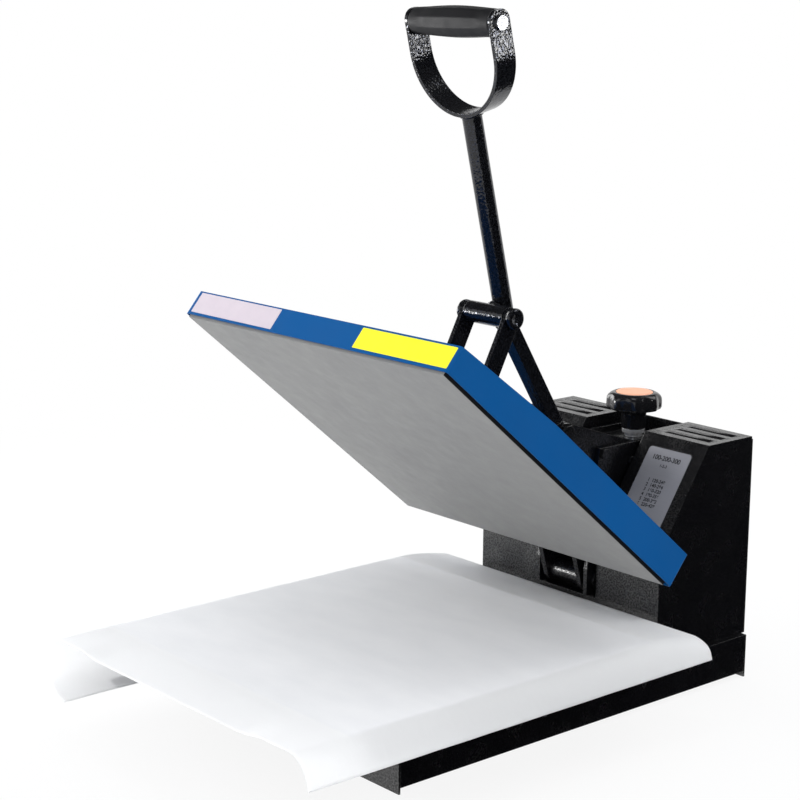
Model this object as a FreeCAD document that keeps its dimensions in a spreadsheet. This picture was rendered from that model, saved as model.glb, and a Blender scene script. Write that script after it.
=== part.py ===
import FreeCAD, Part
import math
import os
import re

import Sketcher

# Clamshell heat press with a 380 x 380 mm heated plate, standing open.
# X points to the right, Y to the back, Z up. The origin lies on the floor, on the press's
# plane of symmetry, in the middle of the underside of the base's cross channel.
# The heated plate and all that swings with it are drawn shut, flat over the bed, and are then
# swung open about the hinge pin. The lever is drawn upright from the knee and then leaned.

# Every driving dimension in millimetres, or degrees where the name ends in angle or lean.
SIZES = {
    # base of folded channels
    "base_half_width": 137.8, "base_front": 313.6, "base_back": 175.3, "base_top": 47.0,
    "base_sheet": 2.0, "rail_lift": 6.0, "channel_flange": 25.0,
    "cross_front": 20.0, "cross_back": 100.0,
    # bed: bearers, lower plate, silicone pad
    "bed_side": 380.0, "bed_back": 34.0, "bearer_width": 30.0, "bearer_wall": 2.5,
    "bearer_inset": 76.0, "bearer_overlap": 2.0, "bed_top": 90.0, "bed_thick": 10.0,
    "pad_thick": 8.0,
    # protective sheet
    "sheet_left": 212.0, "sheet_front": 475.0, "sheet_rear": 33.0,
    "sheet_thick": 1.0, "soft_gap": 0.3, "droop_radius": 16.0, "droop_end": 71.0,
    "curl_radius": 26.0, "curl_end": 34.0, "front_dip": 4.5, "rear_dip": 13.0,
    # housing towers of folded sheet
    "tower_inner": 43.0, "tower_outer": 131.0, "tower_front": 40.0, "tower_back": 180.0,
    "tower_top": 263.0, "slant_foot": 160.0, "slant_top": 110.0, "tower_sheet": 1.5,
    "vent_slot": 74.0, "vent_slot_width": 10.5,
    "vent_pitch": 18.5, "bridge_top": 92.0, "bridge_lip": 12.0, "lip_half": 31.0,
    "rear_drop": 3.0, "rear_screw": 4.0, "rear_screw_inset": 8.0,
    # uprights that carry the hinge and guide the pressure beam
    "upright_inner": 32.5, "upright_thick": 5.0, "upright_back": 160.0, "upright_top": 252.0,
    "upright_shoulder": 46.0, "upright_nose": 32.0, "upright_gap": 1.5,
    "hinge_y": 47.0, "hinge_z": 109.0, "hinge_pin": 12.0, "hinge_tube_d": 20.0,
    "pin_head": 18.0, "pin_head_thick": 3.5,
    "guide_y": 52.0, "guide_z": 246.0, "guide_pitch": 42.0, "guide_drop": 14.0, "guide_bolt": 6.0,
    "guide_head": 10.0, "guide_head_thick": 4.0, "beam_travel": 3.5,
    # pressure beam
    "beam_inner": 27.0, "beam_thick": 5.0, "beam_nose": 11.5, "beam_slope": 18.5,
    "beam_back": 154.0, "beam_top": 246.0, "beam_bottom": 200.0, "beam_heel": 60.0,
    "bridge_front": 122.0, "bridge_thick": 18.0, "pivot_y": 1.5, "pivot_z": 273.0,
    "anchor_top": 184.0, "anchor_thick": 24.0,
    # pressure knob and its screw
    "knob_y": 138.0, "screw_d": 12.0, "screw_foot": 150.0, "nut_flats": 19.0, "nut_thick": 7.6,
    "collar_d": 25.0, "collar_waist": 20.0, "collar_thick": 8.7,
    "hub_d": 27.0, "hub_foot": 255.0, "disc_foot": 276.0, "disc_top": 293.0, "disc_d": 60.0,
    "lobe_count": 8.0, "lobe_cut": 12.0, "lobe_depth": 2.6, "cap_d": 40.0, "cap_thick": 2.0,
    # heated plate and its cover
    "plate_side": 380.0, "plate_foot": 100.0, "plate_thick": 12.0, "open_angle": 40.1,
    "cover_side_gap": 5.0, "cover_lift": 2.3, "cover_high": 36.2, "cover_low": 26.7,
    "cover_sheet": 1.2, "cover_front_gap": 2.7, "cover_rear_gap": 6.5, "cover_kink": 240.0,
    "cover_corner": 3.5, "heater_d": 6.0, "heater_pitch": 60.0, "heater_inset": 50.0,
    "mineral_inset": 14.0, "board_thick": 8.0, "spacer_flats": 13.0,
    # platen arms and the link pivot
    "arm_inner": 22.0, "arm_thick": 6.0, "arm_eye": 14.0, "arm_height": 32.0,
    "saddle_half": 45.0, "saddle_front": 168.0, "saddle_rear": 30.0, "saddle_thick": 5.0,
    "saddle_bolt": 8.0, "saddle_head": 13.0, "saddle_head_thick": 5.3,
    "saddle_bolt_half": 12.0, "saddle_bolt_inset": 22.0,
    "link_run": 183.4, "link_rise": 60.0, "link_width": 20.0, "link_thick": 5.0,
    "link_gap": 0.3, "link_pin": 12.0,
    # lever
    "knee_y": 79.0, "knee_z": 402.0, "knee_d": 22.0, "knee_bore": 12.2, "knee_head": 22.0,
    "knee_head_thick": 5.4,
    "arm_width": 15.0, "arm_set": 19.0,
    "arm_bar": 15.0, "arm_boss": 24.0, "lever_d": 20.0, "lever_wall": 2.0, "foot_back": 17.5,
    "foot_rise": 8.0, "lever_lean": 13.6, "lever_length": 197.0, "lever_stub": 13.5, "ring_half": 61.0,
    "ring_width": 25.0, "ring_thick": 4.0, "grip_rise": 91.0, "ring_end": 13.0,
    "grip_end_d": 26.6, "grip_mid_d": 31.6, "grip_flats": 9.0,
    "grip_bolt": 8.0, "grip_bolt_head": 14.0, "grip_bolt_thick": 3.0,
    # controller, switch and mains inlet
    "bezel_width": 76.0, "bezel_height": 84.0, "bezel_thick": 4.0,
    "case_width": 62.0, "case_height": 68.0, "case_depth": 30.0, "window_width": 56.0,
    "window_height": 26.0, "window_rise": 18.0, "window_depth": 1.5,
    "button_side": 9.0, "button_pitch": 15.5,
    "button_drop": 22.0, "button_length": 5.0, "button_travel": 0.8, "button_proud": 1.6,
    "inlet_x": 70.0, "inlet_z": 90.0, "inlet_width": 27.0, "inlet_height": 20.0,
    "flange_width": 48.0, "flange_height": 28.0, "flange_thick": 3.0, "inlet_depth": 20.0,
    "inlet_wall": 1.5, "blade_width": 4.0, "blade_pitch": 7.0, "blade_rise": 2.0,
    "switch_x": 112.0, "switch_width": 13.0, "switch_height": 19.0, "switch_wall": 1.0,
    "switch_rim": 1.5, "rocker_angle": 9.0, "rocker_deep": 4.0, "rocker_proud": 6.1,
    "rocker_dish": 0.9, "rocker_inset": 2.5, "trunnion_d": 3.0,
    # power board and relay
    "board_sheet": 1.6, "board_inset": 8.0, "board_length": 50.0, "relay_high": 24.0,
    "relay_length": 58.0, "relay_width": 44.0,
    # clearances
    "fit": 0.05, "slide_gap": 0.2, "bolt_gap": 0.25,
    # how far a cut is drawn past the face it opens
    "past": 1.0,
}

doc = FreeCAD.newDocument("heat_press")
size = doc.addObject("Spreadsheet::Sheet", "size")
for row, (alias, value) in enumerate(SIZES.items(), start=1):
    size.set("A%d" % row, alias)
    size.set("B%d" % row, str(value))
    size.setAlias("B%d" % row, alias)
doc.recompute()

SUBPARTS = []
# What a sketch is drawn at before its constraints bring it to size
ROUGH = 50.0
# How far a face may be out of level and still count as flat
LEVEL = 0.01
X_AXIS = FreeCAD.Vector(1, 0, 0)


# Sizes that follow from the driving ones, as expressions
TOWER_MID = "((tower_inner + tower_outer) / 2)"
SLOPE_ANGLE = "atan((tower_top - slant_foot) / (slant_top - tower_front))"
BACK_INNER = "(tower_back - tower_sheet)"
PAD_TOP = "(bed_top + pad_thick)"
BED_BOTTOM = "(bed_top - bed_thick)"
COVER_HALF = "(plate_side / 2 + cover_side_gap)"
HEATER_HALF = "(plate_side / 2 - heater_inset)"
COVER_FOOT = "(plate_foot + cover_lift)"
COVER_TOP = "(plate_foot + cover_lift + cover_high)"
COVER_REAR = "(cover_rear_gap - bed_back)"
PLATE_TOP = "(plate_foot + plate_thick)"
SADDLE_FOOT = "(" + COVER_TOP + " + link_gap)"
SADDLE_TOP = "(" + SADDLE_FOOT + " + saddle_thick)"
LINK_Y = "(-bed_back - link_run)"
LINK_Z = "(plate_foot + link_rise)"
ARM_OUTER = "(arm_inner + arm_thick)"
LINK_INNER = "(" + ARM_OUTER + " + link_gap)"
LINK_OUTER = "(" + LINK_INNER + " + link_thick)"
SWING_Y = "((" + LINK_Y + " - hinge_y) * cos(open_angle) + (" + LINK_Z + " - hinge_z) * sin(open_angle))"
SWING_Z = "((" + LINK_Z + " - hinge_z) * cos(open_angle) - (" + LINK_Y + " - hinge_y) * sin(open_angle))"
OPEN_LINK_Y = "(hinge_y + " + SWING_Y + ")"
OPEN_LINK_Z = "(hinge_z + " + SWING_Z + ")"
LINK_LENGTH = "sqrt((knee_y + " + OPEN_LINK_Y + ")^2 + (knee_z - " + OPEN_LINK_Z + ")^2)"
LINK_LEAN = "atan((knee_y + " + OPEN_LINK_Y + ") / (knee_z - " + OPEN_LINK_Z + "))"
FOOT_Y = "(foot_back - knee_y)"
FOOT_Z = "(knee_z + foot_rise)"
ARM_LENGTH = "sqrt((knee_y + pivot_y)^2 + (knee_z - pivot_z)^2)"
ARM_LEAN = "atan((knee_y + pivot_y) / (knee_z - pivot_z))"


def number(alias):
    """A driving size as the sheet holds it, for the few places that can't take an expression."""
    return size.get(alias)


def bound(text):
    """Puts the sheet's name in front of each alias, so that an expression can be read plainly."""
    def swap(match):
        word = match.group(0)
        return "size." + word if word in SIZES else word
    return re.sub(r"[a-z][a-z_0-9]*", swap, str(text))


def body(name):
    made = doc.addObject("PartDesign::Body", name)
    made.Label = name
    SUBPARTS.append(made)
    return made


def sketch(owner, plane, offset="0", frame=None):
    """A sketch on one of the body's own planes. frame is (x, y, z, angle about X)."""
    made = owner.newObject("Sketcher::SketchObject", owner.Name + "_sketch")
    role = {"XY": "XY_Plane", "XZ": "XZ_Plane", "YZ": "YZ_Plane"}[plane]
    base = [o for o in owner.Origin.OriginFeatures if o.Role == role][0]
    made.AttachmentSupport = [(base, "")]
    made.MapMode = "FlatFace"
    if frame:
        made.AttachmentOffset = FreeCAD.Placement(FreeCAD.Vector(), FreeCAD.Rotation(X_AXIS, 1))
        made.setExpression(".AttachmentOffset.Rotation.Angle", bound(frame[3]))
        for axis, place in zip("xyz", frame):
            made.setExpression(".AttachmentOffset.Base." + axis, bound(place))
    else:
        made.setExpression(".AttachmentOffset.Base.z", bound(offset))
    return made


def pin_point(sk, geometry, end, x, y):
    for kind, place in (("DistanceX", x), ("DistanceY", y)):
        made = sk.addConstraint(Sketcher.Constraint(kind, -1, 1, geometry, end, 1.0))
        sk.setExpression("Constraints[%d]" % made, bound(place))


def outline(sk, points):
    """A closed outline of straight lines through points given as pairs of expressions."""
    count = len(points)
    turn = 2 * math.pi / count
    ring = [FreeCAD.Vector(math.cos(turn * k), math.sin(turn * k), 0) for k in range(count)]
    first = sk.GeometryCount
    for k in range(count):
        sk.addGeometry(Part.LineSegment(ring[k] * ROUGH, ring[(k + 1) % count] * ROUGH), False)
    for k in range(count):
        following = first + (k + 1) % count
        sk.addConstraint(Sketcher.Constraint("Coincident", first + k, 2, following, 1))
    for k, (x, y) in enumerate(points):
        pin_point(sk, first + k, 1, x, y)


def box_outline(sk, x0, y0, x1, y1):
    outline(sk, [(x0, y0), (x1, y0), (x1, y1), (x0, y1)])


def circle(sk, x, y, diameter):
    made = sk.addGeometry(Part.Circle(FreeCAD.Vector(), FreeCAD.Vector(0, 0, 1), ROUGH), False)
    pin_point(sk, made, 3, x, y)
    across = sk.addConstraint(Sketcher.Constraint("Diameter", made, ROUGH))
    sk.setExpression("Constraints[%d]" % across, bound(diameter))


def box_about(sk, x, y, width, height):
    half_width = "(" + width + ") / 2"
    half_height = "(" + height + ") / 2"
    box_outline(sk, x + " - " + half_width, y + " - " + half_height,
                x + " + " + half_width, y + " + " + half_height)


def square(sk, x, y, side):
    box_about(sk, x, y, side, side)


def hexagon(sk, x, y, flats):
    """A hexagon of that width across its flats."""
    corner = "(" + flats + " / sqrt(3))"
    turns = ["%d" % (60 * k) for k in range(6)]
    outline(sk, [(x + " + " + corner + " * cos(" + turn + ")", y + " + " + corner + " * sin(" + turn + ")")
                 for turn in turns])


def prism(owner, plane, start, end, draw, cut=False):
    """Adds, or cuts away, what draw(sketch) outlines between start and end along the plane's axis."""
    offset = "-(" + str(end) + ")" if plane == "XZ" else start
    sk = sketch(owner, plane, offset)
    draw(sk)
    kind = "Pocket" if cut else "Pad"
    made = owner.newObject("PartDesign::" + kind, owner.Name + "_" + kind.lower())
    made.Profile = sk
    made.setExpression("Length", bound("(" + str(end) + ") - (" + str(start) + ")"))
    if cut:
        made.Reversed = True
    return made


def tilted_prism(owner, frame, depth, draw, cut=False):
    """The same, both ways from a plane leaned about X."""
    sk = sketch(owner, "XY", frame=frame)
    draw(sk)
    kind = "Pocket" if cut else "Pad"
    made = owner.newObject("PartDesign::" + kind, owner.Name + "_" + kind.lower())
    made.Profile = sk
    made.Midplane = True
    made.setExpression("Length", bound(depth))
    return made


def revolve(owner, plane, draw, axis, cut=False):
    sk = sketch(owner, plane)
    draw(sk)
    kind = "Groove" if cut else "Revolution"
    made = owner.newObject("PartDesign::" + kind, owner.Name + "_" + kind.lower())
    made.Profile = sk
    made.ReferenceAxis = (sk, [axis])
    made.Angle = 360.0
    return made


def place(made, x="0", y="0", z="0", angle="0"):
    """Leans a drawn sub-part about X, then sets its own origin at x, y, z."""
    made.Placement = FreeCAD.Placement(FreeCAD.Vector(), FreeCAD.Rotation(X_AXIS, 1))
    made.setExpression(".Placement.Rotation.Angle", bound(angle))
    made.setExpression(".Placement.Base.x", bound(x))
    made.setExpression(".Placement.Base.y", bound(y))
    made.setExpression(".Placement.Base.z", bound(z))


def swing_open(made):
    """Turns a sub-part that was drawn shut about the hinge pin to where the press stands open."""
    y = "hinge_y - hinge_y * cos(open_angle) - hinge_z * sin(open_angle)"
    z = "hinge_z + hinge_y * sin(open_angle) - hinge_z * cos(open_angle)"
    place(made, y=y, z=z, angle="-open_angle")


def across(inner, outer, side):
    """Start and end along X of what lies between inner and outer on one side."""
    return (inner, outer) if side > 0 else ("-" + outer, "-" + inner)


def rounded(owner, keep, radius):
    """Fillets the edges of the body's last feature that keep(edge) picks."""
    doc.recompute()
    tip = owner.Tip
    names = ["Edge%d" % (n + 1) for n, edge in enumerate(tip.Shape.Edges) if keep(edge)]
    made = owner.newObject("PartDesign::Fillet", owner.Name + "_fillet")
    made.Base = (tip, names)
    made.setExpression("Radius", bound(radius))
    return made


def along(edge, axis):
    """True for a straight edge along one axis: 0 is X, 1 is Y, 2 is Z."""
    ends = [v.Point for v in edge.Vertexes]
    if len(ends) < 2 or not isinstance(edge.Curve, Part.Line):
        return False
    step = ends[1] - ends[0]
    return abs(step[axis]) > 0.999 * step.Length


SIDES = (("left", -1), ("right", 1))


def base_rails():
    for name, side in SIDES:
        rail = body(name + "_base_rail")
        inner = "base_half_width - channel_flange"
        start, end = across("(" + inner + ")", "base_half_width", side)
        y0, y1 = "-base_front + base_sheet", "base_back - base_sheet"
        prism(rail, "XY", "rail_lift", "base_top", lambda sk: box_outline(sk, start, y0, end, y1))
        start, end = across("(" + inner + " - past)", "(base_half_width - base_sheet)", side)
        hollow = lambda sk: box_outline(sk, start, y0, end, y1)
        prism(rail, "XY", "rail_lift + base_sheet", "base_top - base_sheet", hollow, cut=True)


def base_crossbars():
    """End plates with flanges folded in, which stand on the floor."""
    half = "(base_half_width - channel_flange)"
    front_web = ("-base_front", "-base_front + base_sheet")
    rear_web = ("base_back - base_sheet", "base_back")
    front_flange = (front_web[1], "-base_front + channel_flange")
    rear_flange = ("base_back - channel_flange", rear_web[0])
    for name, web, flange in (("front_crossbar", front_web, front_flange),
                              ("rear_crossbar", rear_web, rear_flange)):
        bar = body(name)
        prism(bar, "XZ", web[0], web[1],
              lambda sk: box_outline(sk, "-base_half_width", "0", "base_half_width", "base_top"))
        for low, high in (("0", "base_sheet"), ("base_top - base_sheet", "base_top")):
            prism(bar, "XZ", flange[0], flange[1], lambda sk: box_outline(sk, "-" + half, low, half, high))


def cross_channel():
    """Box section across the base under the uprights. The origin lies on its underside."""
    bar = body("cross_channel")
    half = "(base_half_width - channel_flange)"
    prism(bar, "YZ", "-" + half, half,
          lambda sk: box_outline(sk, "-cross_front", "0", "cross_back", "base_top"))
    prism(bar, "YZ", "-" + half + " - past", half + " + past",
          lambda sk: box_outline(sk, "-cross_front + base_sheet", "base_sheet",
                                 "cross_back - base_sheet", "base_top - base_sheet"), cut=True)


def bed():
    """Two box-section bearers across the rails, the lower plate on them and the pad on that."""
    bearers = body("bed_bearers")
    reach = "(base_half_width - bearer_overlap)"
    for y in ("(bearer_inset - base_front)", "(-bed_back - bearer_inset)"):
        ends = (y + " - bearer_width / 2", y + " + bearer_width / 2")
        prism(bearers, "YZ", "-" + reach, reach,
              lambda sk: box_outline(sk, ends[0], "base_top", ends[1], BED_BOTTOM))
        hollow = (ends[0] + " + bearer_wall", ends[1] + " - bearer_wall")
        prism(bearers, "YZ", "-base_half_width", "base_half_width",
              lambda sk: box_outline(sk, hollow[0], "base_top + bearer_wall",
                                     hollow[1], BED_BOTTOM + " - bearer_wall"), cut=True)
    half = "(bed_side / 2)"
    for name, low, high in (("lower_plate", BED_BOTTOM, "bed_top"), ("silicone_pad", "bed_top", PAD_TOP)):
        slab = body(name)
        prism(slab, "XY", low, high,
              lambda sk: box_outline(sk, "-" + half, "-bed_back - bed_side", half, "-bed_back"))


def sheet_section(y, dip):
    """Closed outline of the draped sheet across the press at y, let down by dip."""
    t = number("sheet_thick")
    edge = number("bed_side") / 2 + 2 * number("soft_gap")
    low = number("bed_top") + number("pad_thick") + number("soft_gap") - dip
    radius = number("droop_radius")
    left_radius = number("sheet_left") - edge
    curl = number("curl_radius")
    left_side = low + t - left_radius
    curl_mid = number("curl_end") - dip + curl
    hang = number("droop_end") - dip
    right = edge + radius

    def spot(x, z):
        return FreeCAD.Vector(x, y, z)

    def bend(x, z, r, a, b):
        points = [spot(x + r * math.cos(math.radians(g)), z + r * math.sin(math.radians(g)))
                  for g in (a, (a + b) / 2, b)]
        return Part.Arc(*points).toShape()

    top = low + t
    side_x = -edge - left_radius
    curl_x = side_x + curl
    edges = [
        bend(curl_x, curl_mid, curl, 270, 180),
        Part.LineSegment(spot(side_x, curl_mid), spot(side_x, left_side)).toShape(),
        bend(-edge, left_side, left_radius, 180, 90),
        Part.LineSegment(spot(-edge, top), spot(edge, top)).toShape(),
        bend(edge, top - radius, radius, 90, 0),
        Part.LineSegment(spot(right, top - radius), spot(right, hang)).toShape(),
        Part.LineSegment(spot(right, hang), spot(right - t, hang)).toShape(),
        Part.LineSegment(spot(right - t, hang), spot(right - t, top - radius)).toShape(),
        bend(edge, top - radius, radius - t, 0, 90),
        Part.LineSegment(spot(edge, low), spot(-edge, low)).toShape(),
        bend(-edge, left_side, left_radius - t, 90, 180),
        Part.LineSegment(spot(side_x + t, left_side), spot(side_x + t, curl_mid)).toShape(),
        bend(curl_x, curl_mid, curl - t, 180, 270),
        Part.LineSegment(spot(curl_x, curl_mid - curl + t), spot(curl_x, curl_mid - curl)).toShape(),
    ]
    return Part.Wire(edges)


def protective_sheet():
    """Loose sheet over the pad: curled up under the left side, hanging at the right and back."""
    made = doc.addObject("Part::Feature", "protective_sheet")
    made.Label = "protective_sheet"
    front = -number("bed_back") - number("bed_side") - 2 * number("soft_gap")
    back = -number("bed_back") + 2 * number("soft_gap")
    reach = number("sheet_front") + front
    drape = [(-number("sheet_front"), number("front_dip")),
             (front - reach / 2, number("front_dip") / 4),
             (front, 0.0),
             (back, 0.0),
             (back + (number("sheet_rear") - back) / 2, number("rear_dip") / 3),
             (number("sheet_rear"), number("rear_dip"))]
    made.Shape = Part.makeLoft([sheet_section(y, dip) for y, dip in drape], True, True)
    SUBPARTS.append(made)


def tower_profile(sk):
    outline(sk, [("tower_front", "base_top"), (BACK_INNER, "base_top"), (BACK_INNER, "tower_top"),
                 ("slant_top", "tower_top"), ("tower_front", "slant_foot")])


def tower_hollow(sk):
    """The inside: the same outline one sheet further in, open below and behind."""
    high = "(tower_top - tower_sheet)"
    near = "(tower_front + tower_sheet)"
    half_tangent = "tan(" + SLOPE_ANGLE + " / 2)"
    fold = "(tower_sheet * (1 - " + half_tangent + ") / (1 + " + half_tangent + "))"
    crest = "(tower_sheet * " + half_tangent + ")"
    outline(sk, [(near, "base_top - tower_sheet"), ("tower_back", "base_top - tower_sheet"),
                 ("tower_back", high), ("slant_top + " + crest, high), (near, "slant_foot - " + fold)])


def towers():
    """Two folded covers with louvres punched in their tops, one with the controller's cut-out."""
    for name, side in SIDES:
        tower = body(name + "_tower")
        start, end = across("tower_inner", "tower_outer", side)
        prism(tower, "YZ", start, end, tower_profile)
        start, end = across("(tower_inner + tower_sheet)", "(tower_outer - tower_sheet)", side)
        prism(tower, "YZ", start, end, tower_hollow, cut=True)
        middle = TOWER_MID if side > 0 else "-" + TOWER_MID
        halfway = "((slant_top + " + BACK_INNER + ") / 2)"


        def louvres(sk):
            for k in (-1, 0, 1):
                box_about(sk, middle, halfway + " + vent_pitch * %d" % k, "vent_slot", "vent_slot_width")
        prism(tower, "XY", "tower_top - 2 * tower_sheet", "tower_top + tower_sheet", louvres, cut=True)
        if side < 0:
            tilted_prism(tower, controller_frame(), "4 * tower_sheet",
                         lambda sk: box_about(sk, "0", "0", "case_width + 2 * fit", "case_height + 2 * fit"),
                         cut=True)


def bridge_panel():
    """Front sheet between the towers, with its top edge folded back as a lip."""
    panel = body("bridge_panel")
    prism(panel, "XZ", "tower_front", "tower_front + tower_sheet",
          lambda sk: box_outline(sk, "-tower_inner", "base_top", "tower_inner", "bridge_top"))
    prism(panel, "XZ", "tower_front + tower_sheet", "tower_front + bridge_lip",
          lambda sk: box_outline(sk, "-lip_half", "bridge_top - tower_sheet", "lip_half", "bridge_top"))


def rear_panel():
    panel = body("rear_panel")
    prism(panel, "XZ", BACK_INNER, "tower_back",
          lambda sk: box_outline(sk, "-tower_outer", "base_top", "tower_outer", "tower_top - rear_drop"))

    def holes(sk):
        box_about(sk, "-inlet_x", "inlet_z", "inlet_width + 2 * fit", "inlet_height + 2 * fit")
        box_about(sk, "-switch_x", "inlet_z", "switch_width + 2 * fit", "switch_height + 2 * fit")
    prism(panel, "XZ", BACK_INNER + " - past", "tower_back + past", holes, cut=True)
    screws = body("rear_screws")
    edge = "(tower_outer - rear_screw_inset)"
    low = "(base_top + rear_screw_inset)"
    high = "(tower_top - rear_drop - rear_screw_inset)"

    def heads(sk):
        for x in ("-" + edge, edge):
            for z in (low, "(" + low + " + " + high + ") / 2", high):
                hexagon(sk, x, z, "rear_screw * 2")
    prism(screws, "XZ", "tower_back", "tower_back + rear_screw / 2", heads)


def upright_profile(sk):
    outline(sk, [("tower_front + tower_sheet + upright_gap", "base_top"), ("upright_back", "base_top"),
                 ("upright_back", "upright_top"), ("upright_shoulder", "upright_top"),
                 ("upright_nose", "hinge_z + arm_eye"), ("upright_nose", "bridge_top + 2 * upright_gap"),
                 ("tower_front + tower_sheet + upright_gap", "bridge_top + upright_gap")])


def guide_holes(sk, across_it, draw=circle):
    draw(sk, "guide_y", "guide_z", across_it)
    draw(sk, "guide_y + guide_pitch", "guide_z - guide_drop", across_it)


def uprights():
    outer = "(upright_inner + upright_thick)"
    for name, side in SIDES:
        upright = body(name + "_upright")
        start, end = across("upright_inner", outer, side)
        prism(upright, "YZ", start, end, upright_profile)
        start, end = across("(upright_inner - past)", "(upright_inner + upright_thick + past)", side)

        def holes(sk):
            circle(sk, "hinge_y", "hinge_z", "hinge_pin + 2 * fit")
            guide_holes(sk, "guide_bolt + 2 * fit")
        prism(upright, "YZ", start, end, holes, cut=True)
    pin = body("hinge_pin")
    prism(pin, "YZ", "-" + outer + " - link_gap", outer + " + link_gap",
          lambda sk: circle(sk, "hinge_y", "hinge_z", "hinge_pin"))
    bolts = body("guide_bolts")
    prism(bolts, "YZ", "-" + outer, outer, lambda sk: guide_holes(sk, "guide_bolt"))
    seat = "(" + outer + " + link_gap)"
    for side in (-1, 1):
        start, end = across(seat, "(" + seat + " + pin_head_thick)", side)
        prism(pin, "YZ", start, end, lambda sk: hexagon(sk, "hinge_y", "hinge_z", "pin_head"))
        start, end = across(outer, "(" + outer + " + guide_head_thick)", side)
        prism(bolts, "YZ", start, end, lambda sk: guide_holes(sk, "guide_head", hexagon))


def screw_anchor():
    """Fixed bar between the uprights that the pressure screw runs into."""
    bar = body("screw_anchor")
    prism(bar, "XY", "anchor_top - anchor_thick", "anchor_top",
          lambda sk: box_about(sk, "0", "knob_y", "2 * upright_inner", "2 * screw_d"))
    prism(bar, "XY", "anchor_top - anchor_thick - past", "anchor_top + past",
          lambda sk: circle(sk, "0", "knob_y", "screw_d + 2 * fit"), cut=True)


def beam_profile(sk):
    slope = "tan(beam_slope)"
    nose_y = "(pivot_y + beam_nose * sin(beam_slope))"
    nose_z = "(pivot_z + beam_nose * cos(beam_slope))"
    run = "((" + nose_z + " - beam_top) / " + slope + ")"
    outline(sk, [("pivot_y - beam_nose * sin(beam_slope) * 0.2", "pivot_z - beam_nose * 0.97"),
                 ("beam_heel", "beam_bottom"), ("beam_back", "beam_bottom"), ("beam_back", "beam_top"),
                 (nose_y + " + " + run, "beam_top"), (nose_y, nose_z)])


def slots(sk):
    width = "(guide_bolt + 2 * slide_gap)"
    half = "(guide_bolt / 2 + beam_travel + slide_gap)"
    for y, z in (("guide_y", "guide_z"), ("guide_y + guide_pitch", "guide_z - guide_drop")):
        box_outline(sk, y + " - " + width + " / 2", z + " - " + half,
                    y + " + " + width + " / 2", z + " + " + half)


def pressure_beam():
    outer = "(beam_inner + beam_thick)"
    for name, side in SIDES:
        plate = body(name + "_beam_plate")
        start, end = across("beam_inner", outer, side)
        prism(plate, "YZ", start, end, beam_profile)
        prism(plate, "YZ", start, end, lambda sk: circle(sk, "pivot_y", "pivot_z", "2 * beam_nose"))
        start, end = across("(beam_inner - past)", "(beam_inner + beam_thick + past)", side)
        prism(plate, "YZ", start, end, slots, cut=True)
        prism(plate, "YZ", start, end,
              lambda sk: circle(sk, "pivot_y", "pivot_z", "hinge_pin + 2 * fit"), cut=True)
    bridge = body("beam_bridge")
    prism(bridge, "XY", "beam_top - bridge_thick", "beam_top",
          lambda sk: box_outline(sk, "-beam_inner", "bridge_front", "beam_inner", "beam_back"))
    prism(bridge, "XY", "beam_top - bridge_thick - past", "beam_top + past",
          lambda sk: circle(sk, "0", "knob_y", "screw_d + 2 * fit"), cut=True)
    pin = body("pivot_pin")
    prism(pin, "YZ", "-" + outer, outer, lambda sk: circle(sk, "pivot_y", "pivot_z", "hinge_pin"))
    for side in (-1, 1):
        start, end = across(outer, "(beam_inner + beam_thick + pin_head_thick)", side)
        prism(pin, "YZ", start, end, lambda sk: hexagon(sk, "pivot_y", "pivot_z", "pin_head"))


def pressure_knob():
    screw = body("pressure_screw")
    prism(screw, "XY", "screw_foot", "disc_foot", lambda sk: circle(sk, "0", "knob_y", "screw_d"))
    nuts = body("screw_nuts")
    foot = "(beam_top + link_gap)"
    step = "(beam_top + link_gap + collar_thick / 2)"
    under = "(beam_top - bridge_thick - link_gap)"
    for low, high, draw, across_it in ((foot, step, circle, "collar_waist"),
                                       (step, foot + " + collar_thick", circle, "collar_d"),
                                       (under + " - nut_thick", under, hexagon, "nut_flats")):
        def ring(sk):
            draw(sk, "0", "knob_y", across_it)
            circle(sk, "0", "knob_y", "screw_d")
        prism(nuts, "XY", low, high, ring)
    knob = body("pressure_knob")

    def hub(sk):
        circle(sk, "0", "knob_y", "hub_d")
        circle(sk, "0", "knob_y", "screw_d")
    prism(knob, "XY", "hub_foot", "disc_foot", hub)
    prism(knob, "XY", "disc_foot", "disc_top", lambda sk: circle(sk, "0", "knob_y", "disc_d"))

    def lobes(sk):
        count = int(number("lobe_count"))
        reach = "(disc_d / 2 + lobe_cut - lobe_depth)"
        for k in range(count):
            turn = "(360 / lobe_count * %d)" % k
            circle(sk, reach + " * cos(" + turn + ")", "knob_y + " + reach + " * sin(" + turn + ")",
                   "2 * lobe_cut")
    prism(knob, "XY", "disc_foot - past", "disc_top + past", lobes, cut=True)
    cap = body("knob_cap")
    prism(cap, "XY", "disc_top", "disc_top + cap_thick", lambda sk: circle(sk, "0", "knob_y", "cap_d"))


def cover_profile(sk):
    front = "(-bed_back - plate_side - cover_front_gap)"
    outline(sk, [(COVER_REAR, COVER_FOOT), (COVER_REAR, COVER_TOP), ("-bed_back - cover_kink", COVER_TOP),
                 (front, COVER_FOOT + " + cover_low"), (front, COVER_FOOT)])


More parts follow.
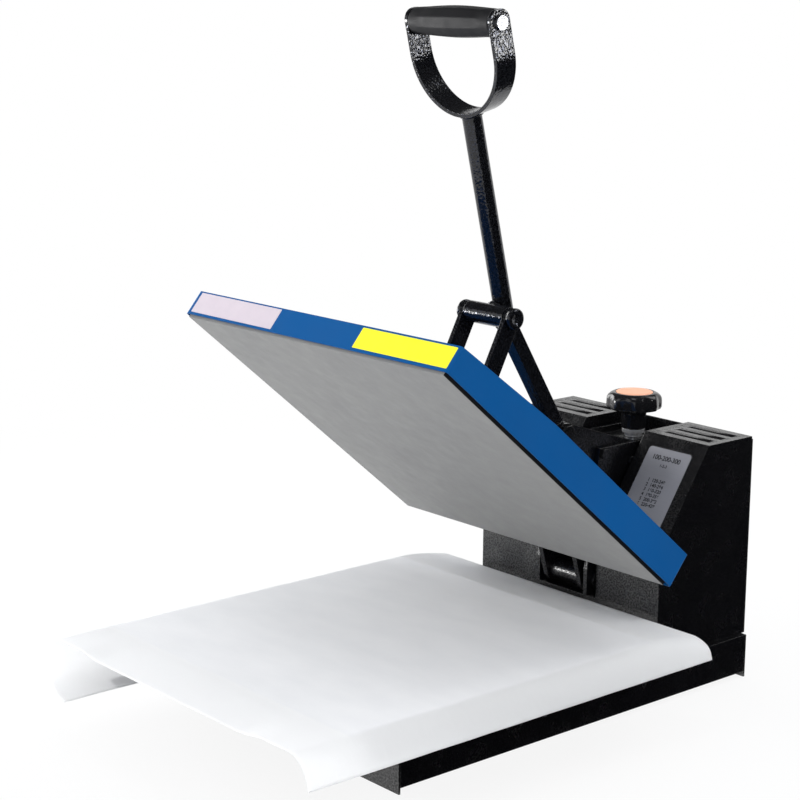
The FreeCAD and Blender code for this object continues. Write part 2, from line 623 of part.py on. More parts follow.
def heater_cover():
    cover = body("heater_cover")
    prism(cover, "YZ", "-" + COVER_HALF, COVER_HALF, cover_profile)
    rounded(cover, lambda e: along(e, 2), "cover_corner")
    doc.recompute()
    tip = cover.Tip
    under = [n for n, face in enumerate(tip.Shape.Faces, start=1)
             if face.BoundBox.ZLength < LEVEL and face.BoundBox.ZMax < tip.Shape.BoundBox.ZMin + LEVEL]
    shell = cover.newObject("PartDesign::Thickness", "heater_cover_wall")
    shell.Base = (tip, ["Face%d" % under[0]])
    shell.Reversed = True
    shell.Mode = "Skin"
    shell.Join = "Intersection"
    shell.setExpression("Value", bound("cover_sheet"))
    prism(cover, "XY", COVER_TOP + " - saddle_thick", COVER_TOP + " + saddle_thick",
          lambda sk: saddle_holes(sk, "saddle_bolt + 2 * bolt_gap", square), cut=True)
    swing_open(cover)


def saddle_holes(sk, across_it, draw=circle):
    for x in ("-saddle_bolt_half", "saddle_bolt_half"):
        for run in ("(saddle_rear + saddle_bolt_inset)", "(saddle_front - saddle_bolt_inset)"):
            draw(sk, x, "-bed_back - " + run, across_it)


def heated_plate():
    plate = body("heated_plate")
    front = "(-bed_back - plate_side)"
    half = "(plate_side / 2)"
    prism(plate, "XY", "plate_foot", PLATE_TOP,
          lambda sk: box_outline(sk, "-" + half, front, half, "-bed_back"))
    swing_open(plate)
    board = body("insulation_board")
    middle = "(-bed_back - plate_side / 2)"
    prism(board, "XY", PLATE_TOP + " + heater_d", PLATE_TOP + " + heater_d + board_thick",
          lambda sk: square(sk, "0", middle, "plate_side - 2 * mineral_inset"))
    prism(board, "XY", PLATE_TOP, PLATE_TOP + " + heater_d + board_thick + past",
          lambda sk: saddle_holes(sk, "spacer_flats + 2 * bolt_gap", hexagon), cut=True)
    swing_open(board)
    posts = body("plate_spacers")
    post_top = COVER_TOP + " - cover_sheet"
    prism(posts, "XY", PLATE_TOP, post_top, lambda sk: saddle_holes(sk, "spacer_flats", hexagon))
    swing_open(posts)
    bolts = body("saddle_bolts")
    prism(bolts, "XY", post_top, SADDLE_TOP, lambda sk: saddle_holes(sk, "saddle_bolt"))
    prism(bolts, "XY", SADDLE_TOP, SADDLE_TOP + " + saddle_head_thick",
          lambda sk: saddle_holes(sk, "saddle_head", hexagon))
    swing_open(bolts)


def heating_element():
    """Flat strip heater that runs to and fro on top of the plate, under the board."""
    strip = body("heating_element")
    middle = "(-bed_back - plate_side / 2)"
    low, high = PLATE_TOP, PLATE_TOP + " + heater_d"
    runs = 6
    for k in range(runs):
        y = middle + " + heater_pitch * %.1f" % (k - (runs - 1) / 2)
        prism(strip, "XY", low, high, lambda sk: box_about(sk, "0", y, "2 * " + HEATER_HALF, "heater_d"))
        if k < runs - 1:
            start, end = across("(" + HEATER_HALF + " - heater_d)", HEATER_HALF, 1 if k % 2 == 0 else -1)
            prism(strip, "XY", low, high,
                  lambda sk: box_outline(sk, start, y, end, y + " + heater_pitch"))
    swing_open(strip)


def arm_profile(sk):
    back = "(-bed_back)"
    top = "(" + SADDLE_TOP + " + arm_height)"
    outline(sk, [(LINK_Y + " - link_pin", SADDLE_TOP), (LINK_Y + " - link_pin", LINK_Z),
                 (LINK_Y, LINK_Z + " + link_pin"), (LINK_Y + " + link_run / 2", top), ("-bed_back", top),
                 ("hinge_y - arm_eye / 2", "hinge_z + arm_eye"), ("hinge_y + arm_eye", "hinge_z"),
                 ("hinge_y - arm_eye / 2", "hinge_z - arm_eye * 0.86"),
                 (COVER_REAR + " + saddle_thick", COVER_TOP), (COVER_REAR + " + saddle_thick", SADDLE_TOP)])


def platen_arms():
    for name, side in SIDES:
        arm = body(name + "_platen_arm")
        start, end = across("arm_inner", ARM_OUTER, side)
        prism(arm, "YZ", start, end, arm_profile)
        prism(arm, "YZ", start, end, lambda sk: circle(sk, "hinge_y", "hinge_z", "2 * arm_eye"))
        start, end = across("(arm_inner - past)", "(" + ARM_OUTER + " + past)", side)

        def holes(sk):
            circle(sk, "hinge_y", "hinge_z", "hinge_pin + 2 * fit")
            circle(sk, LINK_Y, LINK_Z, "link_pin + 2 * fit")
        prism(arm, "YZ", start, end, holes, cut=True)
        swing_open(arm)
    saddle = body("saddle_plate")
    prism(saddle, "XY", SADDLE_FOOT, SADDLE_TOP,
          lambda sk: box_outline(sk, "-saddle_half", "-bed_back - saddle_front",
                                 "saddle_half", "-bed_back - saddle_rear"))
    prism(saddle, "XY", SADDLE_FOOT + " - past", SADDLE_TOP + " + past",
          lambda sk: saddle_holes(sk, "saddle_bolt + 2 * fit"), cut=True)
    swing_open(saddle)
    tube = body("hinge_tube")

    def ring(sk):
        circle(sk, "hinge_y", "hinge_z", "hinge_tube_d")
        circle(sk, "hinge_y", "hinge_z", "hinge_pin + 2 * fit")
    prism(tube, "YZ", "-arm_inner", "arm_inner", ring)
    swing_open(tube)
    pin = body("link_pin_rod")
    seat = "(" + LINK_OUTER + " + link_gap)"
    prism(pin, "YZ", "-" + seat, seat, lambda sk: circle(sk, LINK_Y, LINK_Z, "link_pin"))
    for side in (-1, 1):
        start, end = across(seat, "(" + seat + " + pin_head_thick)", side)
        prism(pin, "YZ", start, end, lambda sk: hexagon(sk, LINK_Y, LINK_Z, "pin_head"))
    swing_open(pin)


def links():
    """Two flat links from the platen arms' pin up to the knee, drawn upright from the pin."""
    for name, side in SIDES:
        link = body(name + "_link")
        start, end = across(LINK_INNER, LINK_OUTER, side)
        prism(link, "YZ", start, end,
              lambda sk: box_outline(sk, "-link_width / 2", "0", "link_width / 2", LINK_LENGTH))
        for z in ("0", LINK_LENGTH):
            prism(link, "YZ", start, end, lambda sk: circle(sk, "0", z, "link_width"))
        start, end = across("(" + LINK_INNER + " - past)", "(" + LINK_OUTER + " + past)", side)

        def holes(sk):
            circle(sk, "0", "0", "link_pin + 2 * fit")
            circle(sk, "0", LINK_LENGTH, "link_pin")
        prism(link, "YZ", start, end, holes, cut=True)
        place(link, y=OPEN_LINK_Y, z=OPEN_LINK_Z, angle=LINK_LEAN)
    bolts = body("knee_bolts")
    for side in (-1, 1):
        start, end = across(LINK_INNER, LINK_OUTER, side)
        prism(bolts, "YZ", start, end, lambda sk: circle(sk, "0", LINK_LENGTH, "link_pin"))
        start, end = across(LINK_OUTER, "(" + LINK_OUTER + " + knee_head_thick)", side)
        prism(bolts, "YZ", start, end, lambda sk: circle(sk, "0", LINK_LENGTH, "knee_head"))
    place(bolts, y=OPEN_LINK_Y, z=OPEN_LINK_Z, angle=LINK_LEAN)


def knee():
    tube = body("knee_tube")

    def ring(sk):
        circle(sk, "-knee_y", "knee_z", "knee_d")
        circle(sk, "-knee_y", "knee_z", "knee_bore")
    prism(tube, "YZ", "-(" + LINK_INNER + " - link_gap)", LINK_INNER + " - link_gap", ring)
    arm = body("rear_arm")
    prism(arm, "YZ", "arm_set - arm_width / 2", "arm_set + arm_width / 2",
          lambda sk: box_outline(sk, "-arm_bar / 2", "0", "arm_bar / 2", ARM_LENGTH + " - knee_bore / 2"))
    boss = "(beam_inner - link_gap)"
    prism(arm, "YZ", "-" + boss, boss, lambda sk: circle(sk, "0", "0", "arm_boss"))

    def holes(sk):
        circle(sk, "0", "0", "hinge_pin + 2 * fit")
        circle(sk, "0", ARM_LENGTH, "knee_d")
    prism(arm, "YZ", "-beam_inner", "beam_inner", holes, cut=True)
    place(arm, y="pivot_y", z="pivot_z", angle=ARM_LEAN)


def lever():
    """Tube, drawn upright from its foot behind the knee and leaned forward."""
    tube = body("lever_tube")
    prism(tube, "XY", "-lever_stub", "lever_length", lambda sk: circle(sk, "0", "0", "lever_d"))
    knee_run = "(foot_back * sin(lever_lean) - foot_rise * cos(lever_lean))"
    knee_out = "(-foot_back * cos(lever_lean) - foot_rise * sin(lever_lean))"
    prism(tube, "XY", "-lever_d", "lever_length",
          lambda sk: circle(sk, "0", "0", "lever_d - 2 * lever_wall"), cut=True)
    prism(tube, "YZ", "-lever_d", "lever_d", lambda sk: circle(sk, knee_out, knee_run, "knee_d"), cut=True)
    place(tube, y=FOOT_Y, z=FOOT_Z, angle="lever_lean")
    ring = body("handle_bow")
    foot = "lever_length"
    centre = "(lever_length + ring_half)"
    top = "(lever_length + grip_rise + ring_end)"

    def disc(sk):
        circle(sk, "0", centre, "2 * ring_half")
    prism(ring, "XZ", "-ring_width / 2", "ring_width / 2", disc)
    prism(ring, "XZ", "-ring_width / 2", "ring_width / 2",
          lambda sk: box_outline(sk, "-ring_half", centre, "ring_half", top))
    inner = "(ring_half - ring_thick)"
    prism(ring, "XZ", "-ring_width", "ring_width",
          lambda sk: circle(sk, "0", centre, "2 * " + inner), cut=True)
    prism(ring, "XZ", "-ring_width", "ring_width",
          lambda sk: box_outline(sk, "-" + inner, centre, inner, top + " + past"), cut=True)
    prism(ring, "XZ", "-ring_width", "ring_width",
          lambda sk: box_outline(sk, "-ring_half - past", top,
                                 "ring_half + past", top + " + ring_half"), cut=True)
    prism(ring, "YZ", "-ring_half - past", "ring_half + past",
          lambda sk: circle(sk, "0", "lever_length + grip_rise", "grip_bolt + 2 * fit"), cut=True)
    tips = number("lever_length") + number("grip_rise") + 0.9 * number("ring_end")
    rounded(ring, lambda e: along(e, 0) and e.BoundBox.ZMin > tips, "ring_width * 0.45")
    place(ring, y=FOOT_Y, z=FOOT_Z, angle="lever_lean")
    grip = body("grip")
    rise = "(lever_length + grip_rise)"

    def flats(sk, across_it):
        count = int(number("grip_flats"))
        turns = ["(360 / grip_flats * %d)" % k for k in range(count)]
        outline(sk, [(across_it + " / 2 * cos(" + turn + ")",
                      rise + " + " + across_it + " / 2 * sin(" + turn + ")") for turn in turns])
    stations = []
    for x, across_it in (("-" + inner, "grip_end_d"), ("-" + inner + " / 3", "grip_mid_d"),
                         (inner + " / 3", "grip_mid_d"), (inner, "grip_end_d")):
        stations.append(sketch(grip, "YZ", x))
        flats(stations[-1], across_it)
    made = grip.newObject("PartDesign::AdditiveLoft", "grip_barrel")
    made.Profile = stations[0]
    made.Sections = stations[1:]
    made.Ruled = True
    doc.recompute()

    def bore(sk):
        circle(sk, "0", rise, "grip_bolt")
    prism(grip, "YZ", "-ring_half", "ring_half", bore, cut=True)
    place(grip, y=FOOT_Y, z=FOOT_Z, angle="lever_lean")
    bolts = body("grip_bolt_rod")
    prism(bolts, "YZ", "-ring_half", "ring_half", lambda sk: circle(sk, "0", rise, "grip_bolt"))
    for side in (-1, 1):
        start, end = across("ring_half", "(ring_half + grip_bolt_thick)", side)
        prism(bolts, "YZ", start, end, lambda sk: circle(sk, "0", rise, "grip_bolt_head"))
    place(bolts, y=FOOT_Y, z=FOOT_Z, angle="lever_lean")


def controller_frame():
    return ("-" + TOWER_MID, "(tower_front + slant_top) / 2", "(slant_foot + tower_top) / 2", SLOPE_ANGLE)


def controller():
    x, y, z, angle = controller_frame()
    case = body("controller_case")
    prism(case, "XY", "0", "bezel_thick", lambda sk: box_about(sk, "0", "0", "bezel_width", "bezel_height"))
    prism(case, "XY", "-case_depth", "0", lambda sk: box_about(sk, "0", "0", "case_width", "case_height"))

    def pane(sk):
        box_about(sk, "0", "window_rise", "window_width", "window_height")
    prism(case, "XY", "bezel_thick - window_depth", "bezel_thick + past", pane, cut=True)

    def wells(sk):
        for k in range(4):
            square(sk, "button_pitch * %.1f" % (k - 1.5), "-button_drop", "button_side + 2 * slide_gap")
    low = "bezel_thick + button_proud - button_length - button_travel - slide_gap"
    prism(case, "XY", low, "bezel_thick + past", wells, cut=True)
    place(case, x, y, z, angle)
    window = body("display_window")
    prism(window, "XY", "bezel_thick - window_depth", "bezel_thick - window_depth / 3", pane)
    place(window, x, y, z, angle)
    for k, name in enumerate(("set_button", "down_button", "up_button", "enter_button")):
        button = body(name)
        prism(button, "XY", "bezel_thick + button_proud - button_length", "bezel_thick + button_proud",
              lambda sk: square(sk, "button_pitch * %.1f" % (k - 1.5), "-button_drop", "button_side"))
        place(button, x, y, z, angle)


def mains():
    """Inlet and rocker switch in the rear panel."""
    inlet = body("mains_inlet")
    x = "(-inlet_x)"
    floor = "tower_back - inlet_depth + 2 * inlet_wall"

    def block(width, height):
        return lambda sk: box_about(sk, x, "inlet_z", width, height)
    prism(inlet, "XZ", "tower_back", "tower_back + flange_thick", block("flange_width", "flange_height"))
    prism(inlet, "XZ", "tower_back - inlet_depth", "tower_back", block("inlet_width", "inlet_height"))
    prism(inlet, "XZ", floor, "tower_back + 2 * flange_thick",
          block("inlet_width - 2 * inlet_wall", "inlet_height - 2 * inlet_wall"), cut=True)
    for side, rise in ((-1, -1), (0, 1), (1, -1)):
        prism(inlet, "XZ", floor, "tower_back - blade_width",
              lambda sk: box_about(sk, x + " + blade_pitch * %d" % side, "inlet_z + blade_rise * %d" % rise,
                                   "blade_width / 2", "blade_width"))
    frame = body("switch_frame")
    x = "(-switch_x)"

    def around(grow):
        return lambda sk: box_about(sk, x, "inlet_z",
                                    "switch_width + 2 * " + grow, "switch_height + 2 * " + grow)
    prism(frame, "XZ", "tower_back", "tower_back + switch_rim", around("switch_rim"))
    prism(frame, "XZ", "tower_back - inlet_depth", "tower_back", around("0"))
    prism(frame, "XZ", "tower_back - 2 * rocker_deep - rocker_inset", "tower_back + 2 * switch_rim",
          around("(-switch_wall)"), cut=True)
    pivot_y = "tower_back - rocker_inset"
    socket = "(switch_width / 2 - switch_wall / 4)"
    prism(frame, "YZ", x + " - " + socket, x + " + " + socket,
          lambda sk: square(sk, pivot_y, "inlet_z", "trunnion_d + 2 * fit"), cut=True)
    rocker = body("power_rocker")
    wide = "(switch_width / 2 - switch_wall - slide_gap)"
    half = "(switch_height / 2 - 2.2 * switch_wall)"
    prism(rocker, "YZ", "-" + wide, wide,
          lambda sk: outline(sk, [("-rocker_deep", "-" + half), ("rocker_proud", "-" + half),
                                  ("rocker_proud - rocker_dish", "0"), ("rocker_proud", half),
                                  ("-rocker_deep", half)]))
    reach = "(switch_width / 2 - switch_wall / 2)"
    prism(rocker, "YZ", "-" + reach, reach, lambda sk: circle(sk, "0", "0", "trunnion_d"))
    place(rocker, x, pivot_y, "inlet_z", "rocker_angle")


def electronics():
    """Power board under the controller and the relay that switches the heater."""
    board = body("control_board")
    prism(board, "XY", "base_top", "base_top + board_sheet",
          lambda sk: box_outline(sk, "-tower_outer + board_inset", "cross_back - board_length",
                                 "-tower_inner - board_inset", "cross_back"))
    relay = body("heater_relay")
    prism(relay, "XY", "base_top", "base_top + relay_high",
          lambda sk: box_outline(sk, "tower_inner + board_inset", "cross_back - relay_length",
                                 "tower_inner + board_inset + relay_width", "cross_back"))


base_rails()
base_crossbars()
cross_channel()
bed()
protective_sheet()
towers()
bridge_panel()
rear_panel()
uprights()
screw_anchor()
pressure_beam()
pressure_knob()
heater_cover()
heated_plate()
heating_element()
platen_arms()
links()
knee()
lever()
controller()
mains()
electronics()

doc.recompute()

for thing in doc.Objects:
    if "Invalid" in thing.State or "Error" in thing.State:
        raise RuntimeError("failed: " + thing.Name + " " + str(thing.State))
os.makedirs("parts", exist_ok=True)
triangles = 0
for made in SUBPARTS:
    if made.Shape.isNull() or not made.Shape.isValid():
        raise RuntimeError("bad shape: " + made.Label)
    triangles += len(made.Shape.tessellate(0.3)[1])
    made.Shape.exportStep("parts/" + made.Label + ".step")
    print("%-20s %2d solids %12.1f mm3" % (made.Label, len(made.Shape.Solids), made.Shape.Volume))
print(len(SUBPARTS), "sub-parts,", triangles, "triangles")
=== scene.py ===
# %% [markdown]
# # A sublimation heat press
# A heat press prints shirts and tiles: a hot plate swings down on a soft bed and a toggle lever locks it.
# Its metal parts come finished from CAD and are loaded here as a fixed frame, so most of this lesson is
# about surfaces: powder paint, hammered paint, gloss blue and bare aluminium. What is soft, welded or
# very thin is modelled here: the loose sheet, the pad, the knob, weld beads, paper strips and a plate.

# %% Load the frame
import math

import bmesh
import bpy
from mathutils import Matrix, Vector, noise


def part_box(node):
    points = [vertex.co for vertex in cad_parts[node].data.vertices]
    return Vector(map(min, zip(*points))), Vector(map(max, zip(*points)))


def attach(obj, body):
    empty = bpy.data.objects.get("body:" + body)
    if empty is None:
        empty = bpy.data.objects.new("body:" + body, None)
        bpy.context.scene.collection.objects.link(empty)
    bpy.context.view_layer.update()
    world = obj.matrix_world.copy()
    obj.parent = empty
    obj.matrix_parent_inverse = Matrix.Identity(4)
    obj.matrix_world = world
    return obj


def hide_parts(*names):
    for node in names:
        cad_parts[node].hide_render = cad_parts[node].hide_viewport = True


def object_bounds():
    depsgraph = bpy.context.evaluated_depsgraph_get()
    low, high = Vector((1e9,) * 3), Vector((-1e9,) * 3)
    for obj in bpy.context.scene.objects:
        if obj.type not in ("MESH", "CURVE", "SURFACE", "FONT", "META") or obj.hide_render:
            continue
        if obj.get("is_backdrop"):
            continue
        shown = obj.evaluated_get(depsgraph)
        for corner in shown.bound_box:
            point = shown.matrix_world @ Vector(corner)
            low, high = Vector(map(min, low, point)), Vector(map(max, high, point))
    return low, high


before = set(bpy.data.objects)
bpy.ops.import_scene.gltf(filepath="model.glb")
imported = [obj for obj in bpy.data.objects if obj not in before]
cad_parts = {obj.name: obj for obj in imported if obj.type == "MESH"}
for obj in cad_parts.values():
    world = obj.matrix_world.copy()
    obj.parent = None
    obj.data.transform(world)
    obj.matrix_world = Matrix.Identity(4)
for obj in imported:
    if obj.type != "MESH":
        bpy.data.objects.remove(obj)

MM = 0.001
scene = bpy.context.scene
cad_low, cad_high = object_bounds()
print("CAD box, mm:", [round((b - a) / MM, 1) for a, b in zip(cad_low, cad_high)])

# %% [markdown]
# ## Where the photographer stood
# A camera can be placed by eye, or worked out from edges that are known to be square and level. Here it
# was worked out: it stands to the right of the press, a little above it, with a long lens. An angle
# round the press, an angle above the table and a slight roll say more to a reader than a matrix does.

# %% The camera
camera_place = Vector((1.3938, -1.3957, 0.7246))
camera_round, camera_above, camera_roll = 49.3, 12.1, 0.4
focal_pixels, picture_pixels = 1940.3, 800

camera_data = bpy.data.cameras.new("camera")
camera_data.sensor_width = 36
camera_data.lens = camera_data.sensor_width * (focal_pixels / picture_pixels)
camera = bpy.data.objects.new("camera", camera_data)
camera.matrix_world = (
    Matrix.Translation(camera_place)
    @ Matrix.Rotation(math.radians(camera_round), 4, "Z")
    @ Matrix.Rotation(math.radians(90 - camera_above), 4, "X")
    @ Matrix.Rotation(math.radians(camera_roll), 4, "Z")
)
scene.collection.objects.link(camera)
scene.camera = camera
scene.view_settings.view_transform = "Standard"
print("lens, mm:", round(camera_data.lens, 2))

# %% [markdown]
# ## A white studio
# Product photographs are taken in a white sweep of paper. The world could simply be bright, but then
# it would also flood the press with light. So it is white only where the camera looks at it, and a softer
# grey where it lights the press. Mirror rays see white near the horizon and a dim ceiling above, as in a
# real tent, where black paint then keeps its depth. The floor keeps a faint shadow.

# %% World and floor
ambient_light, ambient_colour = 0.90, (0.95, 0.97, 1.0, 1)
white = (1, 1, 1, 1)
white_up_to, dim_from = 0.32, 0.46
dim_ceiling = 0.05


def any_ray(tree, *kinds):
    """1 where a ray of one of these kinds arrives, else 0."""
    rays = tree.nodes.new("ShaderNodeLightPath")
    total = rays.outputs["Is " + kinds[0] + " Ray"]
    for kind in kinds[1:]:
        either = tree.nodes.new("ShaderNodeMath")
        either.operation = "MAXIMUM"
        tree.links.new(total, either.inputs[0])
        tree.links.new(rays.outputs["Is " + kind + " Ray"], either.inputs[1])
        total = either.outputs[0]
    return total


def two_way(tree, share, first, second):
    """first where share is 0 and second where it is 1."""
    choice = tree.nodes.new("ShaderNodeMixShader")
    tree.links.new(share, choice.inputs["Fac"])
    tree.links.new(first, choice.inputs[1])
    tree.links.new(second, choice.inputs[2])
    return choice.outputs[0]


world = bpy.data.worlds.new("studio")
scene.world = world
world.use_nodes = True
tree = world.node_tree
soft = tree.nodes["Background"]
soft.inputs["Color"].default_value = ambient_colour
soft.inputs["Strength"].default_value = ambient_light
paper = tree.nodes.new("ShaderNodeBackground")
paper.inputs["Color"].default_value = white
tent = tree.nodes.new("ShaderNodeBackground")
tent.inputs["Color"].default_value = white
direction = tree.nodes.new("ShaderNodeTexCoord")
parts = tree.nodes.new("ShaderNodeSeparateXYZ")
tree.links.new(direction.outputs["Generated"], parts.inputs[0])
height = tree.nodes.new("ShaderNodeMapRange")
height.interpolation_type = "SMOOTHSTEP"
height.inputs["From Min"].default_value = white_up_to
height.inputs["From Max"].default_value = dim_from
height.inputs["To Min"].default_value = 1
height.inputs["To Max"].default_value = dim_ceiling
tree.links.new(parts.outputs["Z"], height.inputs["Value"])
tree.links.new(height.outputs["Result"], tent.inputs["Strength"])
lit = two_way(tree, any_ray(tree, "Glossy"), soft.outputs[0], tent.outputs[0])
seen = two_way(tree, any_ray(tree, "Camera", "Transmission"), lit, paper.outputs[0])
tree.links.new(seen, tree.nodes["World Output"].inputs["Surface"])

floor_radius = 4.0
floor_colour, floor_roughness = (0.88, 0.88, 0.88, 1), 0.9
shadow_near, shadow_far = 0.45, 1.4
shadow_share = 0.12

floor_mesh = bmesh.new()
bmesh.ops.create_circle(floor_mesh, cap_ends=True, segments=96, radius=floor_radius)
floor_data = bpy.data.meshes.new("floor")
floor_mesh.to_mesh(floor_data)
floor = bpy.data.objects.new("floor", floor_data)
scene.collection.objects.link(floor)
sweep = bpy.data.materials.new("paper_sweep")
sweep.use_nodes = True
tree = sweep.node_tree
floor_shader = tree.nodes["Principled BSDF"]
floor_shader.inputs["Base Color"].default_value = floor_colour
floor_shader.inputs["Roughness"].default_value = floor_roughness
place = tree.nodes.new("ShaderNodeTexCoord")
distance = tree.nodes.new("ShaderNodeVectorMath")
distance.operation = "LENGTH"
tree.links.new(place.outputs["Object"], distance.inputs[0])
fade = tree.nodes.new("ShaderNodeMapRange")
fade.interpolation_type = "SMOOTHSTEP"
fade.inputs["From Min"].default_value = shadow_near
fade.inputs["From Max"].default_value = shadow_far
fade.inputs["To Min"].default_value = 1 - shadow_share
tree.links.new(distance.outputs["Value"], fade.inputs["Value"])
whiteness = tree.nodes.new("ShaderNodeMath")
whiteness.operation = "MULTIPLY"
tree.links.new(fade.outputs["Result"], whiteness.inputs[0])
tree.links.new(any_ray(tree, "Camera", "Glossy", "Transmission"), whiteness.inputs[1])
glow = tree.nodes.new("ShaderNodeEmission")
seen = two_way(tree, whiteness.outputs[0], floor_shader.outputs[0], glow.outputs[0])
tree.links.new(seen, tree.nodes["Material Output"].inputs["Surface"])
floor_data.materials.append(sweep)
floor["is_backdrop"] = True
print("floor radius, m:", floor_radius)

# %% [markdown]
# ## Lamps
# Six square lamps give the soft look of a light tent. One hangs high in front, and a small low one on
# its left puts a sheen on the fronts of the towers. The left one reaches in under the open platen, the
# right one fills the dark side, and the ones behind and above draw bright lines along the edges. A
# seventh, small lamp is seen only as a reflection, and sets the hammered paint of the handle sparkling.

# %% Lamps
aim = Vector((0, -0.15, 0.25))


def softbox(name, place, power, side):
    """A square lamp that hangs at place and looks at the press."""
    lamp_data = bpy.data.lights.new(name, "AREA")
    lamp_data.size = side
    lamp_data.energy = power
    lamp = bpy.data.objects.new(name, lamp_data)
    lamp.location = place
    lamp.rotation_euler = (aim - Vector(place)).to_track_quat("-Z", "Y").to_euler()
    scene.collection.objects.link(lamp)
    return lamp


for name, place, power, side in (
    ("front_lamp", (-0.75, -2.5, 1.9), 12, 1.7),
    ("low_lamp", (-2.0, -1.75, 0.30), 24, 0.6),
    ("left_lamp", (-2.3, -0.1, 0.75), 15, 1.1),
    ("right_lamp", (2.6, -0.9, 1.4), 9, 1.4),
    ("back_lamp", (0.4, 1.9, 2.2), 16, 1.6),
    ("top_lamp", (0.1, -0.3, 2.5), 5, 0.8),
):
    print(softbox(name, place, power, side).name, power, "W")
glint_lamp = softbox("glint_lamp", (0.58, 0.40, 0.648), 0.42, 0.09)
glint_lamp.visible_diffuse = glint_lamp.visible_camera = False
print("glint_lamp lights nothing, it is only mirrored")

# %% [markdown]
# ## A black card
# Black paint in a white room turns grey, because it mirrors the room. A photographer stands a black card
# where the paint would mirror white, and so does this scene: the card lies on the floor at the right of
# the press, and its far edge is folded up into a wall. Only reflections see it. It throws no shadow and
# the camera looks through it.

# %% The card
card_near, card_far, card_top = 0.142, 0.62, 1.05
card_front, card_back = -0.45, 1.6
card_lift = 1 * MM

card_mesh = bmesh.new()
bmesh.ops.create_grid(card_mesh, x_segments=1, y_segments=1, size=0.5)
bmesh.ops.scale(card_mesh, vec=(card_far - card_near, card_back - card_front, 1), verts=card_mesh.verts)
card_middle = Vector(((card_near + card_far) / 2, (card_front + card_back) / 2, card_lift))
bmesh.ops.translate(card_mesh, vec=card_middle, verts=card_mesh.verts)
far_edge = [edge for edge in card_mesh.edges if all(vertex.co.x > card_middle.x for vertex in edge.verts)]
wall = bmesh.ops.extrude_edge_only(card_mesh, edges=far_edge)
raised = [item for item in wall["geom"] if isinstance(item, bmesh.types.BMVert)]
bmesh.ops.translate(card_mesh, vec=(0, 0, card_top), verts=raised)
card_data = bpy.data.meshes.new("black_card")
card_mesh.to_mesh(card_data)
card = bpy.data.objects.new("black_card", card_data)
scene.collection.objects.link(card)
velvet = bpy.data.materials.new("velvet")
velvet.use_nodes = True
velvet_shader = velvet.node_tree.nodes["Principled BSDF"]
velvet_shader.inputs["Base Color"].default_value = (0.003, 0.003, 0.003, 1)
velvet_shader.inputs["Specular IOR Level"].default_value = 0
card_data.materials.append(velvet)
card.visible_camera = card.visible_diffuse = card.visible_shadow = card.visible_transmission = False
card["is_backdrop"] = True
print("card height, m:", card_top)

# %% [markdown]
# ## How a finish is put together
# Every finish below is one Principled shader with small textures on it. Writing all its nodes out each
# time would hide what matters, so this class keeps the usual moves: a texture, a tint between two
# colours, a roughness that varies, a bump, and edges that look slightly rounded. A value that is the
# same all over is set on the shader itself.

# %% The finish helper


